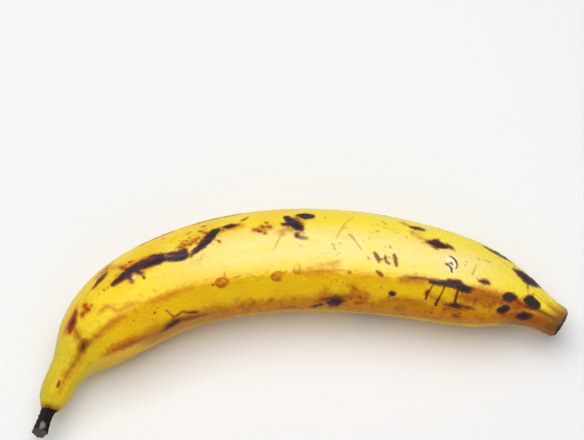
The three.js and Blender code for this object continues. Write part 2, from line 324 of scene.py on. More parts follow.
# Marks that the photograph shows. Each is a line of points in the picture's own pixels, and a point holds
# its x and y there and the mark's half width in mm on the peel.
MARKS = {
    "chalk": {
        "scrap in the graze": [(453.8, 265.2, 0.8), (455, 266, 0.5)],
        "bare peel under the long bruise": [(132.4, 278.2, 0.6), (135.4, 276.6, 0.5)],
        "bare peel by the oblique bruise": [(196.2, 254.2, 0.5), (199.6, 251.4, 0.4)],
        "pale rim of the corner mark": [(298, 241, 0.4), (304, 241.6, 0.4)],
        "middle of the graze": [(447.4, 258.6, 1.1), (452, 259.6, 1.7), (455, 263, 1.2)],
        "foot of the graze, pale": [(448.6, 264.8, 1.4), (452.6, 268.6, 1.1)],
    },
    "bruise": {
        "oblique bruise": [
            (195, 251.6, 0.7), (199.6, 247.7, 1.4), (204, 243.3, 1.8), (208.5, 239.4, 2),
            (211.7, 235, 2.2), (214.2, 231.5, 2), (217.4, 229.9, 1.3),
        ],
        "back spot": [(226, 227, 0.8), (229, 226.4, 1.2), (233, 225.6, 1)],
        "leaning spot": [
            (287, 217.6, 1.4), (289.6, 219.8, 2), (293.4, 223.3, 2.4), (298.5, 226.4, 2.2),
            (301.5, 228.7, 1.1),
        ],
        "top spot": [(301, 215.4, 1.4), (305.5, 215.8, 2.7), (309.5, 216.2, 2.4), (312, 216.6, 1.3)],
        "tip bruise two": [(499, 309.8, 1.1), (503, 309.9, 2.2), (506.2, 309.3, 1.6), (506.9, 306, 0.6)],
        "tip bruise three": [
            (526.2, 300.5, 1.4), (530.8, 301.6, 3.1), (535.5, 304.4, 2.4), (538.3, 305.4, 1.2),
        ],
        "ridge bruise": [
            (431, 281.6, 0.67), (437.4, 282.5, 1.12), (443.8, 283.2, 1.23), (450.2, 283.4, 1.57),
            (456.5, 284, 1.9), (461.6, 287, 1.68), (465.5, 289.6, 1.9), (469.3, 289.8, 1.12),
        ],
        "dark of the back of the tip": [
            (517.6, 272.2, 0.5), (522, 275.2, 2), (527, 278.4, 3.2), (532, 281, 2.8), (537, 284, 1.2),
        ],
        "corner by the scar": [(557, 326.4, 0.7), (561, 326, 1.4), (563.4, 323.4, 1)],
        "dark of the drip's pool": [(451.6, 305, 0.7), (455.6, 305.6, 1.1), (459.6, 306.4, 0.7)],
        "long bruise": [
            (115.6, 281.6, 0.6), (119.6, 278.4, 1.1), (123.4, 274.8, 1.3), (129, 270.8, 1.6),
            (135.5, 267.9, 1.9), (142, 265.6, 1.7), (148.3, 263.4, 1.8), (154.6, 260.6, 2.3),
            (160.4, 259, 2.1), (166, 259.2, 1), (173.8, 258.4, 1.4), (180.2, 257.2, 1.7),
            (184.6, 255.4, 1.8), (187, 254.2, 1),
        ],
        "strand above it": [
            (172, 254.2, 0.3), (176, 253.6, 0.7), (180.2, 252.8, 0.9), (184.6, 252.2, 1.1),
        ],
        "heart of the hollow patch": [(166.4, 329, 0.5), (171, 325.4, 0.9), (177, 321.4, 0.7)],
        "round spot": [(391.6, 293.4, 1.2), (392.4, 293.9, 1.2)],
        "underside blotch, upper edge": [
            (328.6, 303.4, 0.6), (332.6, 301.4, 1.2), (336.6, 300.6, 1.4), (339.8, 301, 0.9),
        ],
        "underside blotch, lower side": [(332.4, 305.4, 0.7), (336, 304.6, 1.2), (339, 303.2, 0.8)],
        "underside dash": [(313.4, 307, 0.6), (317, 305.8, 1.2), (321.2, 304.6, 0.8)],
        "low tip bruise": [(519.2, 316, 0.9), (523.8, 316, 2), (528.4, 316, 1.2)],
        "tip bruise one": [(505.8, 297, 1.4), (510.3, 297.3, 2.1), (514.4, 297.4, 1.4)],
        "wide bruise": [(431.2, 242.8, 0.8), (436.3, 243.8, 1.6), (441, 245.2, 1.5), (445, 246.6, 0.8)],
    },
    "plum": {
        "scrap under it": [(125.5, 275.5, 1.3), (129.8, 277.4, 1.1), (131, 279.3, 0.6)],
        "scrap beside it": [(138.4, 271.6, 1), (141.4, 273.4, 0.7)],
        "lobe above it": [(151.8, 256.4, 0.9), (156, 256, 1.3), (162.5, 255.2, 1)],
        "shoulder over it": [(136.5, 264.4, 0.8), (143.4, 261.2, 0.9), (148, 260.4, 0.9)],
        "fork between the strands": [(163, 256.4, 0.8), (168, 256.4, 0.4)],
        "back spot's ends": [(223.8, 227.2, 0.6), (229, 226.4, 1.4), (235, 225.2, 0.8)],
        "left horn of the leaning spot": [(283.4, 224.3, 0.9), (288.3, 224.4, 1.2)],
        "top spot's tail": [(297.4, 215.2, 0.7), (302, 215.4, 1.6)],
        "point of the wide bruise": [(427.6, 241.8, 0.7), (436, 242.6, 2.3), (437.9, 239.8, 0.6)],
        "tail of the wide bruise": [(447.6, 245.3, 0.8), (451.2, 247.8, 0.7), (453.6, 249.5, 0.3)],
        "dark end of the corner mark": [(296.4, 234.2, 0.6), (297.6, 236.4, 0.7)],
        "around the wide bruise": [
            (428, 242, 0.8), (432, 242.6, 1.9), (437, 243.4, 2.4), (442, 245.4, 1.9), (447, 246.6, 1.2),
        ],
        "back of the tip": [
            (515, 270, 0.8), (519, 273.2, 2.2), (524, 276.4, 3.8), (529.4, 279.4, 4.2), (535, 282.6, 3),
            (540.6, 286, 1.4),
        ],
        "half moon": [(479.6, 281, 0.5), (482.6, 281.2, 1), (485.8, 282.2, 1.1), (489, 283.6, 0.6)],
        "edge round the low tip bruise": [(518.4, 317.2, 0.6), (523, 316.8, 1.2), (529, 316.6, 0.8)],
        "edge of the strand above it": [
            (165, 255, 0.5), (172, 253.8, 0.9), (178, 252.6, 1.1), (184, 251.6, 1.1),
        ],
        "foot of the oblique bruise": [(190.6, 256.2, 0.5), (193.4, 252.8, 0.7), (197, 249.4, 1)],
        "end of the long bruise": [
            (113.2, 284, 0.9), (118, 280.6, 1.6), (124, 276.8, 1.6), (130, 273.6, 0.9),
        ],
        "dark of the shoulder streak": [
            (96.4, 284.4, 0.5), (99.6, 280, 1.5), (102.8, 276.6, 1.3), (105, 273.8, 0.6),
        ],
        "core of the right spot": [
            (411, 227, 0.4), (415.4, 228, 1.2), (419.4, 228.6, 1), (422.4, 229.8, 0.4),
        ],
        "strip on the outline": [
            (485.8, 247.4, 1.2), (493.7, 251.6, 2.2), (499.8, 254.8, 2.7), (505.8, 258, 2.3),
            (511.4, 261.6, 1.1),
        ],
    },
    "faded": {
        "faded corner mark": [
            (297.2, 234.6, 1.04), (299, 237.4, 1.23), (303, 238, 1.04), (306.8, 238.6, 0.85),
        ],
        "point under the back": [(525.6, 280.6, 1.8), (527.4, 284.4, 0.9), (527.9, 287.4, 0.5)],
        "mauve foot of the oblique bruise": [(191.4, 255.8, 0.7), (194, 252.2, 0.9), (198, 248.6, 1)],
    },
    "brown": {
        "first of the strokes": [
            (374.6, 252.8, 0.68), (376.4, 255.4, 0.85), (378.3, 259.2, 0.94), (379.2, 261.9, 0.51),
        ],
        "its foot": [(378.6, 260.2, 0.59), (381.6, 259.3, 0.59)],
        "last of the strokes": [
            (394.3, 254.9, 0.68), (395.3, 258.8, 0.85), (396.1, 262.4, 0.94), (396.5, 265.2, 0.77),
        ],
        "short stroke": [(376.8, 271, 0.4), (379.6, 273.6, 1), (382.2, 275.6, 0.7)],
        "right spot": [(408.6, 226, 0.5), (412.6, 227.6, 1.6), (418, 228.4, 2.2), (422.6, 229.8, 1.4)],
        "neck spot": [(59.3, 380.6, 0.32), (58.8, 383.4, 0.72), (57.8, 386.4, 0.64)],
        "low spot": [(455.9, 316.2, 1), (457.2, 316.4, 0.8)],
        "second of the strokes": [(385, 255.6, 0.3), (385.1, 259, 0.8), (386.8, 262.1, 0.6)],
        "lower dot of the second": [(389, 263.2, 0.5), (389.5, 264, 0.4)],
        "smear before the oblique bruise": [(178.4, 247.8, 0.4), (182, 247.4, 0.6), (185.6, 249, 0.4)],
        "dash over the mottle": [(186.4, 234.6, 0.25), (190.4, 232.2, 0.3)],
        "specks by the mottle": [(196, 243.4, 0.4), (196.4, 243.8, 0.4)],
        "smear under the long bruise": [(142.6, 275.4, 0.4), (144.2, 278, 0.5)],
        "left arm of the check": [(166.8, 310.4, 0.26), (170.4, 314, 0.38), (174.2, 317.2, 0.38)],
        "pool's end": [(461, 306.9, 0.7), (468, 307.9, 0.9), (473, 309, 0.5)],
        "heart of the shoulder blotch": [(84.8, 343.2, 0.7), (83, 346.6, 1.1), (82.8, 349.4, 0.7)],
        "line to the scar": [
            (535, 309, 0.35), (542, 311.6, 0.5), (549, 315.2, 0.6), (556, 319.8, 0.8),
            (561, 323.4, 0.8),
        ],
        "dot right of it": [(219.3, 241.7, 0.6), (219.7, 242.1, 0.6)],
        "thread to the dot": [(215.6, 239.8, 0.2), (218.8, 240.8, 0.2)],
        "heart of the cluster": [(257.2, 230.2, 0.4), (260.4, 231.2, 0.5)],
        "heart of the cluster's top": [(262.4, 226, 0.3), (263, 227, 0.4)],
        "start of the ridge bruise": [
            (404, 277, 0.25), (411, 277.4, 0.45), (418, 278, 0.5), (426, 279, 0.5), (432, 280.4, 0.5),
        ],
        "right arm of the check": [(174.2, 317.2, 0.5), (178.4, 314.4, 0.65), (182, 311.8, 0.5)],
        "dash above": [(201.6, 227, 0.5), (203.6, 226.4, 0.8), (205.6, 225.8, 0.5)],
        "flecks over the long bruise": [(186.6, 240.6, 0.4), (187, 241.2, 0.4)],
        "second flecks there": [(192.4, 241.4, 0.4), (193, 242.4, 0.45)],
        "third flecks there": [(199.4, 238, 0.35), (200, 238.8, 0.4)],
        "fourth flecks there": [(181.4, 243.2, 0.3), (182.2, 243.8, 0.35)],
        "fifth flecks there": [(189.2, 237.4, 0.3), (189.8, 238.2, 0.35)],
        "flecks under the shoulder streak": [(103.4, 289.4, 0.3), (104.2, 290.2, 0.35)],
    },
    "rust": {
        "red dot below": [(82, 314.6, 0.7), (82.2, 315.4, 0.6)],
        "brown dot beside": [(91.2, 305.6, 0.5), (91.8, 305.8, 0.5)],
        "tail of the shoulder streak": [(104.8, 274.4, 0.6), (106.8, 272.8, 0.4)],
        "thin streak above it": [(100.8, 273.7, 0.4), (104.6, 270.8, 0.4), (108.5, 267.7, 0.4)],
        "left end of the long bruise": [(112.8, 284.2, 0.9), (114.6, 283.4, 0.7)],
        "tooth of the long bruise": [(121, 267.2, 0.6), (124.4, 269, 0.9)],
        "dark dot under it": [(131.8, 282, 0.7), (132.2, 282.5, 0.6)],
        "upper edge of it": [
            (125.6, 269.4, 0.6), (132, 265.8, 0.7), (140.4, 262.4, 0.6), (149, 258.4, 0.7),
        ],
        "lower edge of it": [(143, 268.6, 0.5), (150, 266, 0.5), (158.6, 262.8, 0.5)],
        "tooth at its end": [(185.6, 250.2, 0.5), (186, 248.9, 0.5)],
        "mottle over it": [(184.3, 244.6, 0.4), (184.7, 245.6, 0.5)],
        "mottle before the oblique bruise": [(190, 244.9, 0.6), (190.8, 244.3, 0.5)],
        "second mottle there": [(195.6, 239.4, 0.5), (195.5, 241, 0.4)],
        "edge of the oblique bruise": [(199, 245, 0.5), (203.4, 239.2, 0.5), (206.8, 234.6, 0.7)],
        "horn of the oblique bruise": [(203.4, 233, 0.5), (206.6, 232.6, 0.6)],
        "dash beside": [(199.8, 231.3, 0.6), (202.2, 231.4, 0.5)],
        "dot before the back spot": [(222.6, 230.4, 0.5), (223, 229, 0.4)],
        "dot after the back spot": [(238.4, 224.5, 0.7), (239.4, 223.8, 0.6)],
        "far dash": [(242.3, 220.5, 0.6), (245, 219, 0.6), (247.5, 217.3, 0.5)],
        "cluster, left": [(254.4, 230.1, 0.38), (258.9, 230.4, 0.68), (261.4, 231.7, 0.6)],
        "cluster, right": [(263.6, 232.6, 0.45), (265.4, 233.2, 0.52)],
        "cluster, top": [(262, 225.6, 0.45), (262.8, 226.8, 0.6)],
        "cluster's dots": [(267.4, 226, 0.5), (268, 226.4, 0.4)],
        "cluster's far dots": [(269.8, 227.4, 0.45), (270.6, 227, 0.38)],
        "cluster's upper dot": [(266.3, 222.5, 0.5), (266.7, 222.6, 0.5)],
        "between the top spots": [(296.4, 218, 0.6), (298.4, 219.6, 0.5)],
        "tooth of the leaning spot": [(302.4, 223.8, 0.5), (302, 225.4, 0.5)],
        "dot on the second ridge": [(270.5, 300.1, 0.7), (271.3, 300, 0.6)],
        "fleck before it": [(253.7, 303.3, 0.5), (254.3, 303.3, 0.4)],
        "underside specks": [(350.4, 298.2, 0.6), (351.4, 299.2, 0.6)],
        "underside specks, right": [(360.6, 297.4, 0.7), (361, 299, 0.5)],
        "underside dash, far": [(356, 302.9, 0.5), (359.4, 302.6, 0.6), (362.6, 302.4, 0.5)],
        "under the wide bruise": [(433, 246, 0.5), (437.4, 248.2, 0.5)],
        "upper edge of the ridge bruise": [(448, 280.8, 0.5), (454, 280.2, 0.6), (459.6, 281.8, 0.5)],
        "fourth drip": [(475.9, 299, 0.7), (474.6, 302.4, 0.5)],
        "lower specks": [(444, 308.8, 0.8), (445.4, 309.4, 0.5)],
        "lower specks, left": [(430.6, 312.7, 0.5), (431.4, 312.9, 0.5)],
        "lower specks, far left": [(425.4, 311.5, 0.4), (426, 311.6, 0.4)],
        "speck by the low spot": [(459, 312.6, 0.6), (459.4, 313.4, 0.5)],
        "ridge between the tip bruises": [(514.4, 299.6, 0.8), (519, 303, 1.2), (524.3, 306.2, 0.9)],
        "speck before the tip": [(493.4, 301.9, 0.6), (494, 302, 0.6)],
        "edge of the low tip bruise": [(514.6, 316.6, 0.5), (516, 314.6, 0.6), (517.4, 312.8, 0.5)],
        "point of the third tip bruise": [(532.2, 296.6, 0.5), (532.9, 294.8, 0.3)],
        "edge of the back of the tip": [(514.6, 270.4, 0.5), (518.4, 274, 0.5), (523.6, 280, 0.4)],
        "strip on the back": [(140, 245.4, 0.8), (151, 240.2, 0.9), (162, 235.6, 0.9), (172, 232, 0.7)],
        "strip on the back, right": [
            (194, 224.4, 0.7), (207, 220.6, 0.8), (222, 217.4, 0.7), (240, 214.2, 0.5),
        ],
        "spot at the stem": [(48.6, 406.6, 0.9), (49.2, 408, 0.9)],
        "third red dot": [(83.6, 312.4, 0.5), (84, 312.8, 0.5)],
        "pink ring on the lower face": [
            (239.4, 307, 0.2), (241.6, 305.6, 0.2), (244.4, 307.4, 0.2), (243, 310, 0.2),
        ],
        "blob on the first drip": [(427.4, 291.6, 1), (426.6, 294, 0.8)],
        "ridge behind the bruise": [(471.6, 288.6, 0.6), (477, 290, 0.3), (484, 292, 0.2)],
        "run into the ridge bruise": [
            (419, 278.4, 0.3), (427, 279.2, 0.24), (436, 279.8, 0.3), (441, 280.8, 0.18),
        ],
        "shoulder spot": [
            (75.8, 311.4, 0.9), (74.8, 316.4, 1.6), (72.8, 321.4, 2.6), (70.6, 326.4, 2.5),
            (69.4, 331, 1.4),
        ],
        "red dots": [(84.6, 304.6, 0.7), (85.4, 306.6, 0.9)],
        "second red dot": [(86.2, 308.6, 1.1), (88.6, 309.8, 0.8)],
        "ridge to the scar": [(525.6, 307.4, 0.9), (531, 308.6, 0.7), (537, 309.8, 0.4)],
        "dark dash on the second ridge": [
            (184, 312, 0.4), (190, 312.4, 0.9), (194, 312.5, 0.9), (198, 312, 0.5),
        ],
        "shoulder streak": [
            (93.4, 288, 0.6), (97, 283, 1.2), (100.6, 279, 1.8), (104.2, 275.4, 1.4),
            (106.8, 272.4, 0.6),
        ],
    },
    "amber": {
        "ring of the first scar": [
            (215.6, 282.6, 0.4), (216.6, 280.4, 0.4), (219, 278.6, 0.4), (222, 277.9, 0.4),
            (225.4, 278.2, 0.4), (227.8, 280, 0.4), (228.2, 282, 0.4), (226.8, 284.6, 0.4),
            (224, 286.4, 0.4), (220.6, 286.8, 0.4), (217.2, 285.6, 0.4), (215.6, 282.6, 0.4),
        ],
        "stalk of the first scar": [(224.7, 277.6, 0.3), (224.5, 271.6, 0.25)],
        "rim of the second scar": [
            (273.6, 280.4, 0.35), (271.6, 278, 0.3), (272.2, 274.6, 0.3), (275.6, 272.2, 0.3),
            (280, 271.8, 0.25), (284, 273.2, 0.35), (286.2, 271.8, 0.3),
        ],
        "speck on the face": [(143.4, 276.4, 0.6), (144.2, 278.4, 0.6)],
        "speck above the long bruise": [(129.6, 262.2, 0.8), (131, 262.2, 0.7)],
        "spot on the crest": [(349, 272.2, 0.7), (350.4, 272.4, 0.6)],
        "smear under the crest": [(354, 287.6, 0.7), (354.6, 288.6, 0.6)],
        "upper of the strokes' dots": [(389.8, 246.2, 0.4), (390.4, 247.2, 0.5)],
        "amber dot by the strokes": [(388.9, 257, 0.4), (389.4, 257.6, 0.4)],
        "dot near the top": [(478.2, 258.6, 0.4), (478.8, 258.8, 0.4)],
        "specks in the first scar": [(219.6, 282.4, 0.2), (220, 282.6, 0.2)],
        "second speck there": [(224.4, 284, 0.2), (224.8, 284, 0.2)],
        "line on the ridge": [(233, 278.2, 0.1), (239.6, 276.2, 0.2)],
        "shoulder dot": [(135.4, 310, 0.25), (135.8, 310.8, 0.3)],
        "dot on the neck": [(111.5, 344.8, 0.25), (111.9, 345, 0.25)],
        "dot before the shoulder": [(98.6, 321.3, 0.2), (99.1, 321.9, 0.2)],
        "line along the crest": [
            (306, 272.4, 0.02), (318, 271, 0.1), (336, 270, 0.06), (350, 271.6, 0.15),
        ],
        "foot of the first scar": [(217, 285, 0.6), (220.6, 287, 0.7), (224.6, 286.4, 0.5)],
        "dot near the hollow": [(152.6, 319.8, 0.2), (153, 320, 0.2)],
        "dot under it": [(212.8, 294.9, 0.15), (213.1, 295.1, 0.15)],
        "foot of the second scar": [(273.4, 279.6, 0.45), (277.8, 280.6, 0.55), (281, 280, 0.3)],
        "outline of the third scar": [
            (293.2, 271, 0.18), (294, 266.4, 0.04), (296.8, 261.8, 0.02), (299.6, 265.8, 0.04),
            (300.8, 270.6, 0.18), (298.6, 273.6, 0.28), (295.4, 273.8, 0.28), (293.2, 271, 0.18),
        ],
        "cluster's near dots": [(252.4, 228.2, 0.4), (252.8, 228.6, 0.4)],
        "cluster's low dots": [(264.8, 229.8, 0.4), (265.4, 230, 0.4)],
        "mottles in the first scar": [(218.6, 280.8, 0.5), (220, 281, 0.4)],
        "second mottle in the first scar": [(222.6, 284.8, 0.6), (225.6, 283.6, 0.4)],
        "mottle in the second scar": [(273.6, 275.4, 0.5), (275.2, 274.6, 0.4)],
        "second mottle in the second scar": [(276.6, 278.4, 0.5), (280.4, 277.6, 0.4)],
        "mottles on the shoulder's face": [(107, 287.4, 0.3), (107.8, 288, 0.35)],
        "second mottles there": [(99, 293.6, 0.3), (99.6, 294.2, 0.35)],
    },
    "honey": {
        "core of the second scar": [(274.2, 276.6, 1.7), (279.4, 275.8, 1.5)],
        "core of the third scar": [(295.6, 271.4, 1), (298, 271.4, 1)],
        "core of the first scar": [(219.4, 282.9, 1.7), (224.4, 282.1, 1.7)],
        "smear on the lower face": [(240.6, 308, 1.3), (243.4, 308.4, 1.2)],
    },
    "haze": {
        "main ridge, left": [
            (98, 335.6, 0.9), (104, 329, 1.4), (112, 323, 1.8), (119, 318.4, 1.4), (124, 316, 0.8),
        ],
        "haze around the long bruise": [
            (118, 276, 1.4), (128, 276, 1.8), (140, 270, 1.6), (152, 264, 0.8),
        ],
        "haze over the long bruise": [(112, 268, 0.8), (124, 266, 1), (140, 260.6, 1.1), (150, 256, 1)],
        "haze before the oblique bruise": [(180, 246.6, 1.2), (190, 243, 1.4), (198, 237.6, 1.2)],
        "haze around the shoulder streak": [(98, 276.6, 1.2), (104, 271, 1), (110, 266, 0.7)],
        "haze of the shoulder spot": [(76, 308, 0.8), (70.6, 320, 2), (66, 330.6, 1.8)],
        "haze of the cluster": [(255, 229.6, 1), (262, 228.8, 1.5), (269.6, 226.6, 1.1)],
        "haze behind the back spot": [(222, 230.6, 0.8), (234, 227.6, 1), (243, 225.4, 0.6)],
        "above the ridge streak": [(120, 310, 0.6), (128, 306, 0.9), (136, 303, 0.5)],
        "along the crest": [(300, 272.6, 0.4), (316, 271.6, 0.7), (336, 270.8, 0.4)],
        "red smear over the blotch": [(326.6, 289.6, 1.2), (324, 293.6, 2), (322, 297.6, 2)],
        "red smear to the right": [(352, 286, 1.2), (356, 291, 2), (366, 295, 1.6)],
        "before the right spot": [(401.6, 222.6, 0.5), (406.6, 224.6, 0.8)],
        "mottles of the shoulder": [
            (101, 311, 0.4), (106, 306.4, 0.8), (112, 307.6, 0.6), (117, 311, 0.3),
        ],
        "main ridge, middle": [
            (150, 302.6, 0.4), (160, 298.6, 0.9), (168, 295.6, 0.9), (180, 291.4, 0.5),
            (192, 287.4, 0.3),
        ],
        "neck's ridge": [(66.6, 375.4, 0.6), (63, 384, 0.4), (60, 392, 0.3)],
        "patch behind the drips": [(458, 295, 2), (468, 298, 3.8), (480, 300.6, 3.6), (494, 303.6, 2.8)],
        "band before the tip": [
            (468, 291.4, 2.4), (478, 293.2, 3.2), (488, 296, 3.2), (500, 300.4, 3.4), (512, 304.6, 4.2),
            (522, 308.6, 3.6),
        ],
        "haze of the red dots": [(83.4, 306, 1.2), (87, 309, 1.6), (82.6, 314.6, 0.8)],
        "smear on the crest": [(318, 266.6, 0.1), (330, 264, 0.3), (338, 262.6, 0.1)],
        "haze at the head of the shoulder streak": [
            (106, 268, 0.8), (110, 264.6, 0.8), (100, 272.4, 0.5),
        ],
        "round the brown under the neck": [
            (112, 350, 1.2), (124, 345, 2.4), (136, 340, 2.2), (146, 336, 1),
        ],
        "pink by the scar": [(548, 305.4, 0.48), (555.6, 311, 0.96), (562.4, 314.6, 1.2)],
    },
    "olive": {
        "left line": [
            (354, 216.9, 0.3), (348.9, 219.8, 0.35), (345, 223.6, 0.4), (342.5, 227.4, 0.45),
            (339.3, 232.5, 0.4), (336.1, 237.6, 0.3),
        ],
        "its branch": [(343.4, 227, 0.3), (347.9, 228.4, 0.25)],
        "right line": [
            (349.5, 234.6, 0.7), (353.3, 237.8, 0.6), (355.6, 241.5, 0.4), (358.4, 245.3, 0.3),
            (361.3, 249.1, 0.4),
        ],
        "first dash left": [(331.7, 243.7, 0.4), (334.5, 245.6, 0.45)],
        "second dash left": [(333.9, 248.2, 0.4), (335.8, 249.7, 0.45)],
        "dot between": [(339.8, 243.1, 0.5), (340.3, 243.3, 0.5)],
        "faint dash": [(340, 252.6, 0.25), (336.4, 255.5, 0.25)],
        "dots to the right": [(369.1, 238.2, 0.5), (369.6, 238.4, 0.4)],
        "lesser dots": [(363.3, 240.4, 0.4), (363.8, 240.6, 0.35)],
        "upper dots": [(371.3, 232.4, 0.5), (371.8, 232.6, 0.4)],
        "dash by the upper dots": [(376.2, 231.6, 0.6), (378.2, 231, 0.6)],
        "dot above the strokes": [(384.9, 247, 0.4), (385.2, 247.2, 0.35)],
        "dash near the top": [(324.4, 217.6, 0.5), (326.2, 217.4, 0.5)],
        "specks near the top": [(381.2, 220.9, 0.5), (386, 223.7, 0.6)],
        "specks there": [(392, 229.8, 0.5), (392.6, 230, 0.4)],
        "light tail": [(402.5, 223.2, 0.5), (406.6, 225.6, 0.5)],
        "dot left of the streak": [(406, 237.4, 0.5), (406.6, 237.7, 0.5)],
        "end dot of the line": [(368.2, 257.6, 0.7), (369, 258.6, 0.7)],
        "scratch on the face": [(280.6, 235.6, 0.35), (276.8, 243.4, 0.45), (272.9, 250.9, 0.25)],
        "scratch at the shoulder": [(153.3, 289, 0.35), (156, 292.2, 0.35)],
        "mark under the oblique bruise": [(201.6, 256.4, 0.3), (201.8, 260, 0.35)],
        "line by the graze": [(476.2, 265.2, 0.25), (474.4, 270, 0.4), (472.6, 274, 0.6)],
        "dash on the right": [(484.5, 259.9, 0.35), (490.6, 262.2, 0.45)],
        "right dots": [(466.1, 261.8, 0.45), (466.4, 262.2, 0.4)],
        "lower right dots": [(465.4, 265.2, 0.5), (465.6, 265.6, 0.4)],
        "tail of the shoulder streak": [(92.2, 289.2, 0.3), (88.6, 292.4, 0.35), (85.4, 295.2, 0.3)],
        "streaks on the outline": [(506.8, 260, 0.3), (513, 265.4, 0.35), (519.2, 270.4, 0.3)],
        "streaks inside the outline": [(503.6, 262.6, 0.25), (509.4, 267, 0.3)],
        "dots in the face": [(336, 279.6, 0.45), (336.6, 280, 0.4)],
        "dot on the green side": [(413, 296, 0.3), (413.4, 296.2, 0.3)],
        "crack in the tip": [(527.9, 288, 0.5), (528.1, 293.9, 0.35)],
        "green specks in the underside blotch": [(334.4, 303.8, 0.7), (336.2, 303.6, 0.6)],
        "second green speck there": [(323.4, 304.6, 0.5), (324.2, 305.6, 0.5)],
        "dot under the bruise": [(299.6, 245.4, 0.3), (301.4, 245.6, 0.3)],
        "streaks by the scar": [(534, 293.6, 0.15), (545, 302, 0.25), (556, 311, 0.3)],
        "upper streaks by the scar": [(541, 295.4, 0.15), (551, 303.6, 0.25), (560, 311.4, 0.25)],
    },
    "dot": {
        "dot of the far strokes": [(391.9, 258.2, 0.3), (392.2, 258.4, 0.3)],
        "dot on the green side": [(381.2, 287.4, 0.35), (381.6, 287.7, 0.3)],
        "tail of the round spot": [(389.4, 296.2, 0.25), (388.3, 297.6, 0.3)],
        "outer arc of the graze": [
            (449.1, 256, 0.19), (452.9, 257.3, 0.34), (455.5, 260.5, 0.4), (457.4, 264.3, 0.31),
            (457.3, 267.3, 0.25), (455.4, 268.6, 0.25),
        ],
        "inner arc of the graze": [
            (445.4, 263.5, 0.22), (449.1, 263.3, 0.25), (451.6, 262.6, 0.31), (452.6, 264.8, 0.25),
        ],
        "lower arc of the graze": [
            (446, 264.8, 0.25), (449.1, 266, 0.31), (451.4, 267.6, 0.43), (452, 269.8, 0.43),
        ],
        "foot of the graze": [(451.2, 268.6, 0.31), (452, 272, 0.37)],
        "first drip": [
            (433.4, 284.6, 0.25), (430.6, 289, 0.3), (428, 292.4, 0.55), (426.9, 294.4, 0.45),
            (425.7, 299.4, 0.35),
        ],
        "second drip": [
            (444.7, 286.3, 0.45), (443.1, 290.5, 0.3), (440.2, 296.3, 0.3), (437.8, 300, 0.65),
            (435.4, 305.4, 0.6),
        ],
        "third drip": [(458.1, 289.5, 0.35), (456.5, 295, 0.5), (455.3, 300.7, 0.55), (454.6, 304, 0.7)],
        "dark of the shoulder blotch": [(83.6, 344.6, 0.3), (82.6, 347.6, 0.4)],
        "dark of the shoulder spot": [(73.8, 317.4, 0.3), (73.2, 320.6, 0.7), (72.2, 324, 0.5)],
        "dot before the first scar": [(212.8, 285.2, 0.4), (213.5, 284.5, 0.4)],
        "dot under the ridge": [(154.4, 313, 0.45), (154.9, 312.7, 0.45)],
        "dark of the dash on the second ridge": [(188.6, 312.4, 0.25), (195.6, 312.4, 0.4)],
    },
    "ash": {
        # A painted highlight on the stem, put on as a silver patch
        "silver patch on the stem": [(42.6, 422.4, 0.9), (42.4, 425.4, 1.4), (41.2, 427.6, 0.9)],
    },
    "tan": {
        "brown in the hollow": [(152, 336, 0.8), (163, 331, 1.2), (176, 324, 1.6), (188, 318, 1.2)],
        "brown of the belly, right": [(318, 300, 1), (332, 297.6, 2), (352, 295.6, 2.2), (366, 298, 1.2)],
        "under the tip": [(512, 314, 2), (526, 317.4, 3), (540, 322, 3.6), (550, 328, 3)],
        "low band of the tip": [(500, 314, 1.6), (516, 318.4, 1.6), (534, 325.6, 1.8), (546, 333, 1.8)],
        "haze of the leaning spot": [
            (282, 232.4, 0.8), (287.4, 228.4, 1.1), (292, 229.4, 1.2), (300, 231.6, 0.9),
        ],
        "haze between the top spots": [(296, 217.4, 1), (300, 220.6, 1)],
        "haze of the ridge bruise": [(402, 279, 0.9), (412, 279.4, 1.8), (424, 280.6, 1.2)],
        "smear at the right end": [(398, 309, 1.2), (403, 308.6, 1.2)],
        "pale brown by the scar": [(556, 316.4, 1.4), (562.5, 318.6, 2)],
        "haze of the drips": [(430, 296, 1), (441, 300, 1.2), (449, 309.6, 1.4)],
        "patch before the tip": [(484, 305, 1.4), (490, 307, 1.6)],
        "arm of the blotch to the neck": [
            (81.6, 350, 1.4), (78.4, 356, 1.4), (73.6, 364.6, 1.2), (66.6, 375.4, 0.8),
        ],
        "streak to the wide bruise": [
            (412.6, 233, 0.2), (417.4, 235.4, 0.4), (423, 239, 0.3), (428, 242, 0.6),
        ],
        "band behind the tip bruises": [
            (484, 294, 1.2), (496, 297.4, 1.4), (508, 302, 2.2), (518, 306.6, 2.6),
        ],
        "arm of the blotch to the outline": [(81, 341.4, 1.8), (77.8, 336, 1.9), (75, 330.4, 1.4)],
        "arm of the blotch to the belly": [(86.6, 342.6, 1.6), (92, 340, 1.2), (98, 336, 0.8)],
        "brown under the neck": [
            (104, 355, 0.5), (112, 351.4, 1.3), (122, 347.4, 2.2), (131, 343.8, 2.6), (140, 340, 2),
            (149, 336.4, 0.8),
        ],
        "lower face, far right": [(384, 300.6, 0.6), (396, 299.4, 1.5), (410, 301, 1.3), (424, 303, 0.8)],
    },
    "umber": {
        "shoulder blotch": [(85, 343, 1.6), (82.4, 347, 2.2), (83, 350.4, 1.2)],
        "pool of the drips": [(449, 306.4, 1), (456, 306.6, 1.6), (466, 307.8, 1.2)],
        "low face by the scar": [(549, 326.4, 1.6), (553.6, 327.6, 2.6), (557, 328.4, 2.2)],
        "lower lip of the scar": [(544, 331.6, 1), (550, 334.4, 1.6)],
        "low spot": [(454.6, 315.8, 1.2), (457.4, 316.6, 1)],
        "underside blotch": [(328, 303.4, 1.2), (332, 303.6, 1.8), (336.6, 302.4, 1.6)],
        "underside blotch, lower edge": [(330, 306.4, 1.2), (335.4, 305.6, 1.2)],
        "underside dash, left": [(286.4, 308, 0.6), (290.6, 307.4, 1.1), (295, 306.8, 0.6)],
